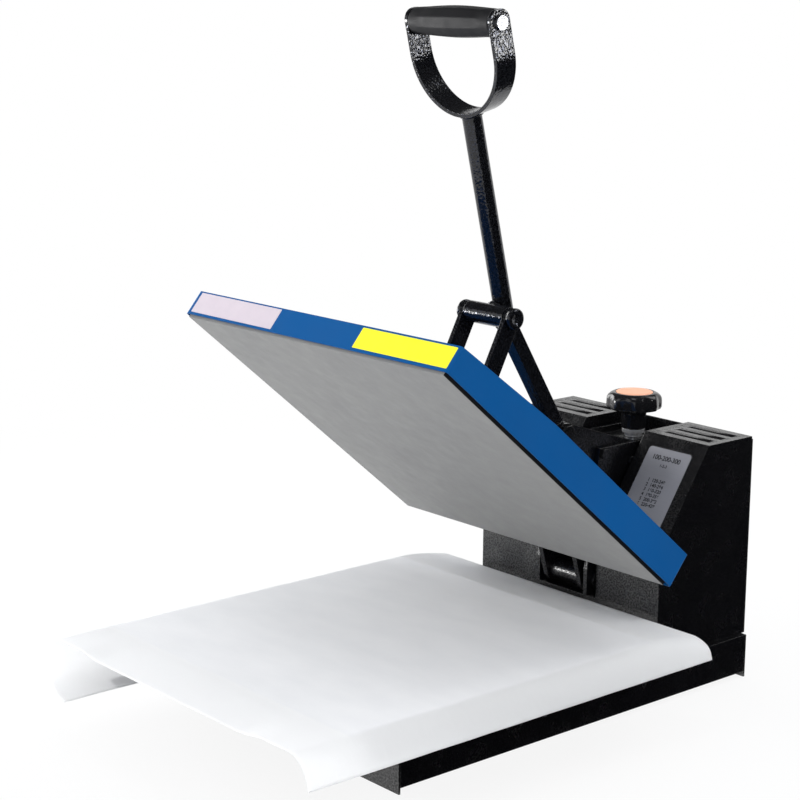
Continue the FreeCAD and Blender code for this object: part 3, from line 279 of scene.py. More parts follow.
class Finish:
    """A material in the making: its shader, and short ways to give it texture."""

    def __init__(self, name, colour, roughness, specular=0.5, metallic=0.0):
        self.material = bpy.data.materials.new(name)
        self.material.use_nodes = True
        self.tree = self.material.node_tree
        self.shader = self.tree.nodes["Principled BSDF"]
        self.shader.inputs["Base Color"].default_value = (*colour, 1)
        self.shader.inputs["Roughness"].default_value = roughness
        self.shader.inputs["Specular IOR Level"].default_value = specular
        self.shader.inputs["Metallic"].default_value = metallic
        self.place = self.add("ShaderNodeTexCoord").outputs["Object"]
        self.normal = None

    def add(self, kind, **settings):
        node = self.tree.nodes.new(kind)
        for key, value in settings.items():
            setattr(node, key, value)
        return node

    def link(self, source, target):
        self.tree.links.new(source, target)

    def stretched(self, stretch):
        """Object coordinates, stretched, so that a pattern runs along one direction."""
        mapping = self.add("ShaderNodeMapping")
        mapping.inputs["Scale"].default_value = stretch
        self.link(self.place, mapping.inputs["Vector"])
        return mapping.outputs["Vector"]

    def clouds(self, size_mm, detail=3.0, stretch=(1, 1, 1)):
        """Soft noise with patches of about this size."""
        node = self.add("ShaderNodeTexNoise")
        node.inputs["Scale"].default_value = 1 / (size_mm * MM)
        node.inputs["Detail"].default_value = detail
        self.link(self.stretched(stretch), node.inputs["Vector"])
        return node.outputs["Fac"]

    def cells(self, size_mm):
        """Pebbles of about this size."""
        node = self.add("ShaderNodeTexVoronoi", feature="SMOOTH_F1")
        node.inputs["Scale"].default_value = 1 / (size_mm * MM)
        self.link(self.place, node.inputs["Vector"])
        return node.outputs["Distance"]

    def span(self, value, low, high, start=0.0, end=1.0):
        """Carries value from start..end over to low..high."""
        node = self.add("ShaderNodeMapRange")
        for socket, number in (("From Min", start), ("From Max", end), ("To Min", low), ("To Max", high)):
            node.inputs[socket].default_value = number
        self.link(value, node.inputs["Value"])
        return node.outputs["Result"]

    def mixed(self, value, first, second):
        """A colour between first and second, each a colour or a socket."""
        node = self.add("ShaderNodeMix", data_type="RGBA")
        self.link(value, node.inputs["Factor"])
        for socket, colour in ((node.inputs[6], first), (node.inputs[7], second)):
            if isinstance(colour, tuple):
                socket.default_value = (*colour, 1)
            else:
                self.link(colour, socket)
        return node.outputs[2]

    def tint(self, value, first, second):
        self.link(self.mixed(value, first, second), self.shader.inputs["Base Color"])

    def uneven_gloss(self, value, low, high):
        self.link(self.span(value, low, high, 0.3, 0.7), self.shader.inputs["Roughness"])

    def soft_edges(self, radius_mm):
        """Lets edges catch the light as if they had this radius."""
        node = self.add("ShaderNodeBevel", samples=4)
        node.inputs["Radius"].default_value = radius_mm * MM
        self.normal = node.outputs["Normal"]
        self.link(self.normal, self.shader.inputs["Normal"])

    def bump(self, height, depth_mm, strength=1.0):
        """Adds relief of this depth on top of any relief so far."""
        node = self.add("ShaderNodeBump")
        node.inputs["Strength"].default_value = strength
        node.inputs["Distance"].default_value = depth_mm * MM
        self.link(height, node.inputs["Height"])
        if self.normal:
            self.link(self.normal, node.inputs["Normal"])
        self.normal = node.outputs["Normal"]
        self.link(self.normal, self.shader.inputs["Normal"])


print("finish helper ready")

# %% [markdown]
# ## Black paints
# Two blacks cover the press. The base, towers and arms wear powder paint, a satin skin with a fine
# orange peel whose shine is grainy. The lever, links and bow wear hammered paint, whose metal flakes
# throw back silver sparks. They differ in the size of their bumps and in how sharply they shine, more
# than in colour.

# %% Powder and hammered paint
powder = Finish("powder_black", (0.0025, 0.0025, 0.0032), 0.25, specular=0.7)
powder.soft_edges(0.9)
powder.bump(powder.clouds(1.2, 2), 0.15, 0.9)
powder.bump(powder.clouds(9, 1), 0.12, 0.25)
powder.uneven_gloss(powder.clouds(26), 0.20, 0.30)
# The grain takes over from the plain specular above, which an export that drops the link falls back on.
grain = powder.span(powder.clouds(1.9, 1), 0.35, 1.25, 0.38, 0.62)
powder.link(grain, powder.shader.inputs["Specular IOR Level"])
powder.tint(powder.clouds(60), (0.0018, 0.0018, 0.0025), (0.0035, 0.0035, 0.0045))

hammered = Finish("hammered_black", (0.0025, 0.0025, 0.0032), 0.14, specular=0.5)
hammered.soft_edges(0.8)
hammered.bump(hammered.cells(2.3), 0.24, 1.0)
flecks = hammered.span(hammered.clouds(1.5, 1), 0, 1, 0.50, 0.62)
hammered.tint(flecks, (0.0025, 0.0025, 0.0032), (0.055, 0.058, 0.070))
hammered.link(flecks, hammered.shader.inputs["Metallic"])
hammered.uneven_gloss(hammered.clouds(7), 0.09, 0.16)
print("blacks:", powder.material.name, hammered.material.name)

# %% [markdown]
# ## Cover, plate and bright metal
# The cover is gloss blue enamel over sheet steel. The heated plate is bare cast aluminium with a dull
# non-stick skin, blotchy from heat, and its two sides are painted near black. Bolts are zinc plated,
# with a brushed grain, and the nuts on the screw are chromed and reflect the room.

# %% Blue, aluminium, zinc and chrome
blue = Finish("cover_enamel", (0.0010, 0.082, 0.272), 0.34, specular=0.10)
blue.soft_edges(0.8)
blue.bump(blue.clouds(1.6, 2), 0.03, 0.4)
blue.tint(blue.clouds(120, 2), (0.0008, 0.074, 0.248), (0.0012, 0.088, 0.292))
blue.uneven_gloss(blue.clouds(40), 0.29, 0.38)

aluminium = Finish("plate_skin", (0.22, 0.22, 0.22), 0.55, specular=0.35)
aluminium.soft_edges(0.5)
blotches = aluminium.mixed(aluminium.clouds(95, 5), (0.190, 0.191, 0.195), (0.245, 0.244, 0.240))
skin = aluminium.mixed(aluminium.clouds(6, 4), blotches,
                       aluminium.mixed(aluminium.clouds(30, 4), blotches, (0.27, 0.27, 0.26)))
plate_half = 190 * MM
# Beyond 189.5 mm from the middle, that is on its two sides, the plate is painted near black.
dark_sides_from, dark_sides_to = plate_half - 0.5 * MM, plate_half - 0.3 * MM
where = aluminium.add("ShaderNodeSeparateXYZ")
aluminium.link(aluminium.place, where.inputs[0])
reach = aluminium.add("ShaderNodeMath", operation="ABSOLUTE")
aluminium.link(where.outputs["X"], reach.inputs[0])
dark_sides_mask = aluminium.span(reach.outputs[0], 0, 1, dark_sides_from, dark_sides_to)
aluminium.tint(dark_sides_mask, skin, (0.012, 0.011, 0.011))
aluminium.bump(aluminium.clouds(2.2, 4), 0.05, 0.5)
aluminium.uneven_gloss(aluminium.clouds(18, 4), 0.48, 0.62)

zinc = Finish("zinc_plate", (0.62, 0.63, 0.66), 0.3, metallic=1.0)
zinc.soft_edges(0.4)
zinc.tint(zinc.clouds(9), (0.55, 0.56, 0.60), (0.70, 0.71, 0.73))
zinc.bump(zinc.clouds(0.7, 2, (1, 6, 6)), 0.03, 0.5)
zinc.uneven_gloss(zinc.clouds(4), 0.22, 0.36)

chrome = Finish("chrome", (0.80, 0.80, 0.82), 0.1, metallic=0.7)
chrome.soft_edges(0.5)
chrome.uneven_gloss(chrome.clouds(5), 0.06, 0.16)
chrome.bump(chrome.clouds(1.2, 2), 0.02, 0.3)

element = Finish("element_steel", (0.30, 0.26, 0.22), 0.45, metallic=0.9)
element.tint(element.clouds(14), (0.22, 0.17, 0.14), (0.38, 0.34, 0.30))
element.bump(element.clouds(1.5), 0.05, 0.5)

bed_steel = Finish("bed_steel", (0.30, 0.30, 0.31), 0.42, metallic=0.85)
bed_steel.soft_edges(0.6)
bed_steel.tint(bed_steel.clouds(35, 4), (0.26, 0.26, 0.27), (0.36, 0.36, 0.37))
bed_steel.bump(bed_steel.clouds(1.2, 2, (1, 8, 8)), 0.03, 0.4)
print("metals: 5")

# %% [markdown]
# ## Rubber, plastic and board
# The grip is black rubber gone slightly grey, the knob is moulded plastic, its cap a pale orange disc.
# The controller, the switch and the inlet are moulded too. Board and insulation are seen only through
# the gaps, but they still get their weave and grain.

# %% Rubber, plastics and boards


def moulded(name, dark, light, roughness, grain_mm=0.9, depth_mm=0.03, edge_mm=0.6):
    """A moulded plastic or rubber: two close shades, a fine grain and slightly worn gloss."""
    made = Finish(name, dark, roughness)
    made.soft_edges(edge_mm)
    made.tint(made.clouds(22), dark, light)
    made.bump(made.clouds(grain_mm, 2), depth_mm, 0.5)
    made.uneven_gloss(made.clouds(11), roughness - 0.06, roughness + 0.06)
    return made


rubber = moulded("grip_rubber", (0.006, 0.006, 0.007), (0.012, 0.012, 0.014), 0.50, 0.7, 0.06)
rubber.shader.inputs["Specular IOR Level"].default_value = 0.28
knob_plastic = moulded("knob_plastic", (0.006, 0.006, 0.007), (0.009, 0.009, 0.010), 0.16, 3, 0.02, 1.0)
cap_plastic = moulded("cap_plastic", (1.0, 0.47, 0.28), (1.0, 0.53, 0.34), 0.42, 1.4, 0.02)
case_plastic = moulded("case_plastic", (0.013, 0.013, 0.014), (0.018, 0.018, 0.019), 0.42, 0.5, 0.05)
window_plastic = moulded("window_plastic", (0.004, 0.005, 0.006), (0.006, 0.007, 0.009), 0.12, 8, 0.01, 0.3)
key_plastic = moulded("key_plastic", (0.17, 0.175, 0.18), (0.21, 0.215, 0.22), 0.5, 0.6, 0.04, 0.8)
rocker_plastic = moulded("rocker_plastic", (0.42, 0.012, 0.010), (0.50, 0.017, 0.014), 0.24, 2, 0.02)
relay_plastic = moulded("relay_plastic", (0.014, 0.014, 0.015), (0.02, 0.02, 0.021), 0.4)
board_green = moulded("board_green", (0.012, 0.085, 0.035), (0.018, 0.11, 0.05), 0.3, 2, 0.03, 0.2)
mineral = moulded("mineral_board", (0.55, 0.52, 0.46), (0.68, 0.65, 0.58), 0.85, 1.2, 0.2, 0.5)
print("moulded finishes: 10")

# %% [markdown]
# ## Painting the CAD parts
# The record names one finish for each CAD part. A lookup from that name to a finish above paints them
# all, and no part can be missed: a name with no finish stops the script.

# %% Paint every CAD part
finish_of_slot = {
    "base_paint": powder, "housing_paint": powder, "frame_paint": powder,
    "lower_plate_steel": bed_steel, "plate_aluminium": aluminium, "cover_blue": blue,
    "board_mineral": mineral, "zinc_steel": zinc, "screw_chrome": chrome,
    "element_steel": element, "lever_hammer": hammered, "grip_rubber": rubber,
    "knob_black": knob_plastic, "cap_peach": cap_plastic, "controller_black": case_plastic,
    "window_smoke": window_plastic, "button_grey": key_plastic, "rocker_red": rocker_plastic,
    "board_green": board_green, "relay_black": relay_plastic,
}
replaced_slots = {"pad_silicone", "sheet_white"}

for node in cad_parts.values():
    for material_slot in node.material_slots:
        slot_name = material_slot.material.name
        if slot_name not in replaced_slots:
            material_slot.material = finish_of_slot[slot_name].material
print("painted", len(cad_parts), "CAD parts")

# %% [markdown]
# ## Making a piece
# Each new piece is drawn in a bmesh and then becomes an object that rides on one body of the press.
# This helper does that last step the same way for all of them.

# %% From bmesh to piece


def piece(name, mesh, finish, body, smooth=True):
    """Turns a bmesh into an object at the origin that wears finish, rides on body and has a slot."""
    data = bpy.data.meshes.new(name)
    mesh.to_mesh(data)
    mesh.free()
    made = bpy.data.objects.new(name, data)
    scene.collection.objects.link(made)
    data.materials.append(finish.material)
    if smooth:
        data.shade_smooth()
    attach(made, body)
    print(name, "with", len(data.polygons), "faces rides on", body)
    return made


def add_modifier(made, kind, **settings):
    modifier = made.modifiers.new(kind.lower(), kind)
    for key, value in settings.items():
        setattr(modifier, key, value)
    return modifier


# %% [markdown]
# ## The loose sheet
# A thin white non-stick sheet lies on the pad. It is wider than the bed: its left edge curls down and
# under, its right edge hangs, and the back slopes down to the towers. It starts as a flat grid of its
# real size. Each crosswise row is then bent by walking along it and turning a little at each step, so
# the cloth keeps its length, as paper does. A sheet that is curved one way stays stiff the other way, so
# the dips at the front and back die out towards the two hems. Where the cloth hangs free, light shines
# through it, so there its finish lets more light in below the surface.

# %% The bent sheet
sheet_width, sheet_length = 500 * MM, 508 * MM
sheet_thickness = 0.35 * MM
pad_low, pad_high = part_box("silicone_pad")
sheet_gap = 0.9 * MM
sheet_level = pad_high.z + sheet_gap
sheet_front_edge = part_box("protective_sheet")[0].y
sheet_columns = 170
sheet_shift = -24 * MM
ripple_height = 0.35 * MM
left_start, right_start = 185 * MM, 187 * MM
left_curl = ((0, 12), (9, 40), (25, 62), (38, 82), (49, 101), (61, 136), (77, 158), (90, 162))
right_fall = ((0, 6), (4, 20), (12, 38), (21, 53), (32, 72), (40, 80))
rear_fall = ((0, 0), (30, 9), (80, 12))
front_fall = ((0, 0), (25, 4.5), (80, 6))
hem_share = 36 * MM
dip_start, dip_end = 112 * MM, 150 * MM
walk = 1 * MM


def turned_by(turns, distance):
    """The angle reached after this distance, between the stations of turns (mm, degrees)."""
    for (start, low), (end, high) in zip(turns, turns[1:]):
        if distance <= end * MM:
            return low + (high - low) * (distance / MM - start) / (end - start)
    return turns[-1][1]


def walked(turns, distance):
    """How far out and how far down a walk of this distance leads."""
    out = down = gone = 0.0
    while gone < distance:
        step = min(walk, distance - gone)
        angle = math.radians(turned_by(turns, gone + step / 2))
        out += step * math.cos(angle)
        down += step * math.sin(angle)
        gone += step
    return out, down


def ease(value, low, high):
    """0 below low, 1 above high, and smooth between them."""
    share = min(1.0, max(0.0, (value - low) / (high - low)))
    return share * share * (3 - 2 * share)


def bent(place, start, turns):
    """A coordinate and a drop for a point this far from the middle, past start."""
    if place <= start:
        return place, 0.0
    out, down = walked(turns, place - start)
    return start + out, down


cloth = bmesh.new()
bmesh.ops.create_grid(cloth, x_segments=sheet_columns, y_segments=sheet_columns, size=0.5)
bmesh.ops.scale(cloth, vec=(sheet_width, sheet_length, 1), verts=cloth.verts)
bed_middle = (pad_low.y + pad_high.y) / 2
sheet_middle = sheet_front_edge + sheet_length / 2
pad_half_length = (pad_high.y - pad_low.y) / 2
for vertex in cloth.verts:
    across = vertex.co.x + sheet_shift
    along = vertex.co.y + sheet_middle - bed_middle
    start, turns = (left_start, left_curl) if across < 0 else (right_start, right_fall)
    x, down = bent(abs(across), start, turns)
    x = math.copysign(x, across)
    y, dip = bent(abs(along), pad_half_length, front_fall if along < 0 else rear_fall)
    y = math.copysign(y, along)
    dip *= 1 - ease(abs(across) - start, 0, hem_share)
    if along < 0:
        dip *= 1 - ease(abs(x), dip_start, dip_end)
    ripple = noise.noise((x * 9, y * 22, 0)) + 0.6 * noise.noise((x * 30, y * 12, 3))
    vertex.co = (x, y + bed_middle, sheet_level - down - dip + ripple_height * ripple)
sheet_area = sum(face.calc_area() for face in cloth.faces)

sheet_finish = Finish("sheet_cloth", (0.86, 0.86, 0.87), 0.6, specular=0.3)
fade_band = 2 * MM
where = sheet_finish.add("ShaderNodeSeparateXYZ")
sheet_finish.link(sheet_finish.place, where.inputs[0])
over_pad = None
for axis, low, high in (("X", pad_low.x, pad_high.x), ("Y", pad_low.y, pad_high.y)):
    for start, end in ((low - fade_band, low + fade_band), (high + fade_band, high - fade_band)):
        side = sheet_finish.span(where.outputs[axis], 0, 1, start, end)
        if over_pad is None:
            over_pad = side
        else:
            both = sheet_finish.add("ShaderNodeMath", operation="MULTIPLY")
            sheet_finish.link(over_pad, both.inputs[0])
            sheet_finish.link(side, both.inputs[1])
            over_pad = both.outputs[0]
# Painted shade: over the pad the cloth is painted a streaky grey, darker than the white where it hangs
# free, for the pad showing through it.
pad_shade_streaks = sheet_finish.mixed(sheet_finish.clouds(55, 4, (1, 2.2, 1)), (0.83, 0.835, 0.85),
                             (0.92, 0.92, 0.925))
sheet_finish.tint(over_pad, (0.92, 0.92, 0.92), pad_shade_streaks)
sheet_finish.bump(sheet_finish.clouds(24, 3, (1, 2, 1)), 0.5, 0.3)
sheet_finish.bump(sheet_finish.clouds(0.9, 1), 0.03, 0.4)
sheet_finish.uneven_gloss(sheet_finish.clouds(15), 0.52, 0.66)
hanging_glow, resting_glow = 0.55, 0.10
light_through = sheet_finish.span(over_pad, hanging_glow, resting_glow)
sheet_finish.link(light_through, sheet_finish.shader.inputs["Subsurface Weight"])
sheet_finish.shader.inputs["Subsurface Radius"].default_value = (1, 1, 1)
sheet_finish.shader.inputs["Subsurface Scale"].default_value = 6 * MM

sheet = piece("loose_sheet", cloth, sheet_finish, "stand")
add_modifier(sheet, "SOLIDIFY", thickness=sheet_thickness, offset=0)
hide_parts("protective_sheet")
print("sheet area, m2:", round(sheet_area, 4), "flat:", round(sheet_width * sheet_length, 4))

# %% [markdown]
# ## The soft pad
# The pad is a slab of silicone foam with rounded edges and a faint crown in the middle. It mostly hides
# under the sheet, yet its edge shows from the left and from behind.

# %% The pad
pad_corner = 7 * MM
pad_edge = 2 * MM
pad_crown = 0.3 * MM
crown_margin = 30 * MM

slab = bmesh.new()
bmesh.ops.create_cube(slab, size=1)
pad_size = pad_high - pad_low
bmesh.ops.scale(slab, vec=pad_size - Vector((0, 0, pad_crown)), verts=slab.verts)
bmesh.ops.translate(slab, vec=(pad_low + pad_high) / 2 - Vector((0, 0, pad_crown / 2)), verts=slab.verts)
upright = [e for e in slab.edges if abs(e.verts[0].co.z - e.verts[1].co.z) > pad_size.z / 2]
bmesh.ops.bevel(slab, geom=upright, offset=pad_corner, segments=5, affect="EDGES", profile=0.5, material=-1)
rims = [e for e in slab.edges if abs(e.verts[0].co.z - e.verts[1].co.z) < pad_edge
        and len({round(f.normal.z) for f in e.link_faces}) == 2]
bmesh.ops.bevel(slab, geom=rims, offset=pad_edge, segments=3, affect="EDGES", profile=0.5, material=-1)
top = [f for f in slab.faces if f.normal.z > 0.99]
margin = bmesh.ops.inset_region(slab, faces=top, thickness=crown_margin, use_even_offset=True)
inner = [f for f in slab.faces if f.normal.z > 0.99 and f not in margin["faces"]]
for vertex in {v for f in inner for v in f.verts}:
    vertex.co.z += pad_crown

foam = moulded("pad_foam", (0.76, 0.76, 0.78), (0.83, 0.83, 0.84), 0.75, 1.2, 0.15, 1.0)
pad = piece("foam_pad", slab, foam, "stand", smooth=False)
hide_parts("silicone_pad")

# %% [markdown]
# ## Lathe work
# Round pieces are drawn as half a section and then spun, as on a lathe. The section is a list of
# stations, each a radius and a height in millimetres. Small dips and flats come afterwards, by moving
# the spun points, so that one section serves a plain disc and a lobed knob alike.

# %% The lathe
FULL_TURN = 2 * math.pi


def turned(section, steps=96):
    """A closed round bmesh about Z from stations of radius and height in mm."""
    mesh = bmesh.new()
    stations = [mesh.verts.new((radius * MM, 0, height * MM)) for radius, height in section]
    edges = [mesh.edges.new(pair) for pair in zip(stations, stations[1:])]
    bmesh.ops.spin(mesh, geom=stations + edges, cent=(0, 0, 0), axis=(0, 0, 1), angle=FULL_TURN,
                   steps=steps, use_merge=True)
    bmesh.ops.remove_doubles(mesh, verts=mesh.verts, dist=0.001 * MM)
    bmesh.ops.recalc_face_normals(mesh, faces=mesh.faces)
    return mesh


def moved(mesh, matrix):
    bmesh.ops.transform(mesh, matrix=matrix, verts=mesh.verts)
    return mesh


def joined(meshes):
    """One bmesh out of several."""
    total = bmesh.new()
    for mesh in meshes:
        data = bpy.data.meshes.new("part")
        mesh.to_mesh(data)
        mesh.free()
        total.from_mesh(data)
        bpy.data.meshes.remove(data)
    return total


print("lathe ready")

# %% [markdown]
# ## The pressure knob
# The knob has a round shoulder and eight shallow dips for the fingers. The dips only reach the rim, so
# each point moves inwards by a share that grows from the middle to the rim. The pale cap is pressed into
# a seat on top and stands almost flush.

# %% Knob and cap
knob_axis = Vector((0, 138, 0)) * MM
lobe_count = 8
lobe_depth, lobe_sharpness = 2.0 * MM, 1.6
lobe_start, lobe_full = 25.5 * MM, 29.5 * MM
knob_section = (
    (6.2, 255.2), (11.9, 255.2), (13.1, 255.9), (13.5, 257.4), (13.5, 270.5), (14.3, 273.9), (16.6, 275.9),
    (20.0, 276.5), (26.6, 276.7), (28.8, 277.3), (29.8, 278.9), (30.0, 281.0), (30.0, 286.4), (29.6, 289.2),
    (28.4, 291.5), (26.2, 293.3), (23.4, 294.5), (21.3, 294.9), (20.4, 294.6), (20.2, 293.4), (0.0, 293.4),
)
knob_mesh = turned(knob_section, 128)
for vertex in knob_mesh.verts:
    radius = vertex.co.xy.length
    if radius > lobe_start:
        around = math.atan2(vertex.co.y, vertex.co.x)
        dip = (0.5 - 0.5 * math.cos(lobe_count * around)) ** lobe_sharpness
        reach = ease(radius, lobe_start, lobe_full)
        share = 1 - lobe_depth * dip * reach / radius
        vertex.co.x *= share
        vertex.co.y *= share
knob_mesh = moved(knob_mesh, Matrix.Translation(knob_axis))
knob = piece("lobed_knob", knob_mesh, knob_plastic, "knob")
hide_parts("pressure_knob")

cap_section = ((0, 293.5), (19.6, 293.5), (19.9, 294.3), (19.8, 295.0), (19.2, 295.4), (17, 295.5),
               (0, 295.6))
cap_mesh = moved(turned(cap_section), Matrix.Translation(knob_axis))
cap = piece("knob_disc", cap_mesh, cap_plastic, "knob")
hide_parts("knob_cap")

# %% [markdown]
# ## The grip
# The grip is a barrel with long flats that fade out near both ends. On the flats, the round section is
# drawn towards a polygon, and the share of polygon is what fades.

# %% The grip
lever_lean = math.radians(13.6)
lever_foot = Vector((0, -61.5, 410)) * MM
lever_frame = Matrix.Translation(lever_foot) @ Matrix.Rotation(lever_lean, 4, "X")
bow_foot = 197
grip_rise = 288
grip_half = 56.8
grip_end, grip_middle = 13.1, 15.5
grip_mouth = ((4.2, 0), (12.2, 0), (12.9, 0.6))
barrel_reach, barrel_steps = 0.97, 24
grip_flats, flat_share = 9, 0.85
flats_outside = 12.5 * MM
flats_fade_from, flats_fade_to = 36 * MM, 50 * MM


def barrel(station):
    """The grip's radius at this distance from its middle, all in mm."""
    return grip_end + (grip_middle - grip_end) * math.cos(station / grip_half * math.pi / 2) ** 1.2


grip_section = [(radius, -grip_half + inset) for radius, inset in grip_mouth]
for k in range(-barrel_steps, barrel_steps + 1):
    station = grip_half * barrel_reach * math.sin(math.pi / 2 * k / barrel_steps)
    grip_section.append((barrel(station), station))
grip_section += [(radius, grip_half - inset) for radius, inset in reversed(grip_mouth)]
grip_mesh = turned(grip_section, 108)
half_flat = math.pi / grip_flats
for vertex in grip_mesh.verts:
    radius = vertex.co.xy.length
    if radius > flats_outside:
        around = (math.atan2(vertex.co.y, vertex.co.x) % (2 * half_flat)) - half_flat
        flat = math.cos(half_flat) / math.cos(around)
        kept = 1 - ease(abs(vertex.co.z), flats_fade_from, flats_fade_to)
        share = 1 + (flat - 1) * flat_share * kept
        vertex.co.x *= share
        vertex.co.y *= share
grip_place = lever_frame @ Matrix.Translation((0, 0, grip_rise * MM)) @ Matrix.Rotation(math.pi / 2, 4, "Y")
grip = piece("ribbed_grip", moved(grip_mesh, grip_place), rubber, "lever")
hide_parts("grip")

# %% [markdown]
# ## Bosses at the knee
# The links end in round bosses on the knee's pin. Paint has run over them, so their rims are soft and
# they wear the same hammered black as the links.

# %% Knee bosses
knee = Vector((0, -79, 402)) * MM
boss_section = (
    (0, 28.4), (5.95, 28.4), (5.95, 33.3), (10.9, 33.3), (11.0, 36.4), (10.6, 37.7), (9.6, 38.5),
    (8.2, 38.8), (5.4, 38.7), (4.9, 38.2), (0, 38.1),
)
bosses = []
for side in (-1, 1):
    turn = Matrix.Translation(knee) @ Matrix.Rotation(side * math.pi / 2, 4, "Y")
    bosses.append(moved(turned(boss_section, 72), turn))
boss = piece("knee_bosses", joined(bosses), hammered, "links")
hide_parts("knee_bolts")

# %% [markdown]
# ## Weld beads
# Where steel meets steel the press is welded, and a weld shows as a rope with small waves. A bead here
# is a round section carried along a path. At each step it swells and shrinks a little, as the molten
# metal did.

# %% Beads
bead_sides = 10
bead_wave = 2.2 * MM


def bead(path, radius, closed):
    """A rippled rope of this radius through the points of path."""
    mesh = bmesh.new()
    count = len(path)
    ring = None
    gone = 0.0
    for k, centre in enumerate(path):
        before = path[k - 1] if k or closed else centre
        after = path[(k + 1) % count] if k < count - 1 or closed else centre
        gone += (centre - path[k - 1]).length if k else 0
        swell = radius * (1 + 0.14 * math.cos(FULL_TURN * gone / bead_wave))
        if not closed:
            swell *= 0.35 + 0.65 * ease(min(k, count - 1 - k), 0, 2)
        facing = (after - before).to_track_quat("Z", "Y").to_matrix().to_4x4()
        made = bmesh.ops.create_circle(mesh, cap_ends=not closed and k in (0, count - 1),
                                       segments=bead_sides, radius=swell,
                                       matrix=Matrix.Translation(centre) @ facing)
        edges = [e for e in mesh.edges if all(v in made["verts"] for v in e.verts)]
        if ring:
            bmesh.ops.bridge_loops(mesh, edges=ring + edges)
        else:
            first = edges
        ring = edges
    if closed:
        bmesh.ops.bridge_loops(mesh, edges=ring + first)
    bmesh.ops.recalc_face_normals(mesh, faces=mesh.faces)
    return mesh


def loop(count, spot):
    """Points of a closed path: spot(angle) for count angles round a full turn."""
    return [spot(FULL_TURN * k / count) for k in range(count)]


bow_seam_radius, bow_seam_sink, bow_seam_rise = 10.2, 0.5, 0.85


def bow_seam(angle):
    """Round the lever's upper end, where the bow's foot rests on it."""
    lift = bow_foot - bow_seam_sink + bow_seam_rise * math.cos(angle) ** 2
    spot = Vector((bow_seam_radius * math.cos(angle), bow_seam_radius * math.sin(angle), lift))
    return lever_frame @ (spot * MM)


knee_forward, knee_height = 18.9, -3.7
touch_half_width, touch_half_height = 8.4, 9.2
touch_depth, touch_hollow = 7.8, 1.6


def lever_seam(angle):
    """Round the patch where the lever touches the knee's tube."""
    forward = knee_forward - touch_depth - touch_hollow * math.cos(2 * angle)
    height = knee_height + touch_half_height * math.sin(angle)
    return lever_frame @ (Vector((touch_half_width * math.cos(angle), -forward, height)) * MM)


seam_squareness = 0.8


def square_seam(foot, direction, reach, half_width, half_depth):
    """Round a flat bar that ends on a tube of radius reach about foot."""
    aside = Vector((0, -direction.z, direction.y))

    def spot(angle):
        wide, deep = math.cos(angle), math.sin(angle)
        stretch = 1 / max(abs(wide), abs(deep)) ** seam_squareness
        depth = half_depth * deep * stretch
        out = math.sqrt(reach ** 2 - min(depth, reach) ** 2)
        return foot + (Vector((half_width * wide * stretch, 0, 0)) + aside * depth + direction * out) * MM
    return spot


pivot = Vector((0, 1.5, 273)) * MM
arm_way = (knee - pivot).normalized()
arm_aside = Vector((19, 0, 0)) * MM
arm_half_width, arm_half_depth = 7.5, 7.8
lever_beads = [bead(loop(44, bow_seam), 1.5 * MM, True), bead(loop(40, lever_seam), 2.9 * MM, True)]
for foot, way, tube_radius in ((knee, -arm_way, 10.9), (pivot, arm_way, 11.9)):
    seam = square_seam(foot + arm_aside, way, tube_radius, arm_half_width, arm_half_depth)
    lever_beads.append(bead(loop(52, seam), 1.3 * MM, True))
piece("lever_welds", joined(lever_beads), hammered, "lever")

hinge = Vector((0, 47, 109)) * MM
open_angle = -40.1
open_turn = (Matrix.Translation(hinge) @ Matrix.Rotation(math.radians(open_angle), 4, "X")
             @ Matrix.Translation(-hinge))
saddle_top = 143.8
arm_sides = (22.0, 28.0)
bead_starts, bead_steps, bead_step = (-196, -150, -104), 24, 1.1
arm_beads = []
for side in (-1, 1):
    for x in arm_sides:
        for start in bead_starts:
            path = [Vector((side * x, start + bead_step * k, saddle_top)) * MM for k in range(bead_steps)]
            arm_beads.append(bead(path, 1.7 * MM, False))
piece("saddle_welds", moved(joined(arm_beads), open_turn), powder, "platen")

# %% [markdown]
# ## The dark ring round the plate
# Between the bare plate and the lip of the cover runs a ring painted near black, with a woven bump. It
# is a thin flat ring with rounded edges. It is drawn where it lies while the press is shut, and then
# swung open with the platen.

# %% The dark ring
dark_ring_half = Vector((191.4, 191.4, 0)) * MM
dark_ring_middle = Vector((0, -224, 0)) * MM
dark_ring_low, dark_ring_high = 103.2 * MM, 106.2 * MM
dark_ring_width, dark_ring_corner = 1.3 * MM, 3 * MM


def flat_ring(half, corner, width, low, high):
    """A rounded square ring of that width, between two heights, about the origin."""
    mesh = bmesh.new()
    bmesh.ops.create_grid(mesh, x_segments=1, y_segments=1, size=1)
    bmesh.ops.scale(mesh, vec=(half.x, half.y, 1), verts=mesh.verts)
    bmesh.ops.translate(mesh, vec=(0, 0, low), verts=mesh.verts)
    bmesh.ops.bevel(mesh, geom=mesh.verts[:], offset=corner, segments=5, affect="VERTICES", profile=0.5,
                    material=-1)
    bmesh.ops.inset_region(mesh, faces=mesh.faces[:], thickness=width, use_boundary=True,
                           use_even_offset=True)
    middle = max(mesh.faces, key=lambda face: face.calc_area())
    bmesh.ops.delete(mesh, geom=[middle], context="FACES_ONLY")
    grown = bmesh.ops.extrude_face_region(mesh, geom=mesh.faces[:])
    lifted = [item for item in grown["geom"] if isinstance(item, bmesh.types.BMVert)]
    bmesh.ops.translate(mesh, vec=(0, 0, high - low), verts=lifted)
    bmesh.ops.recalc_face_normals(mesh, faces=mesh.faces)
    return mesh
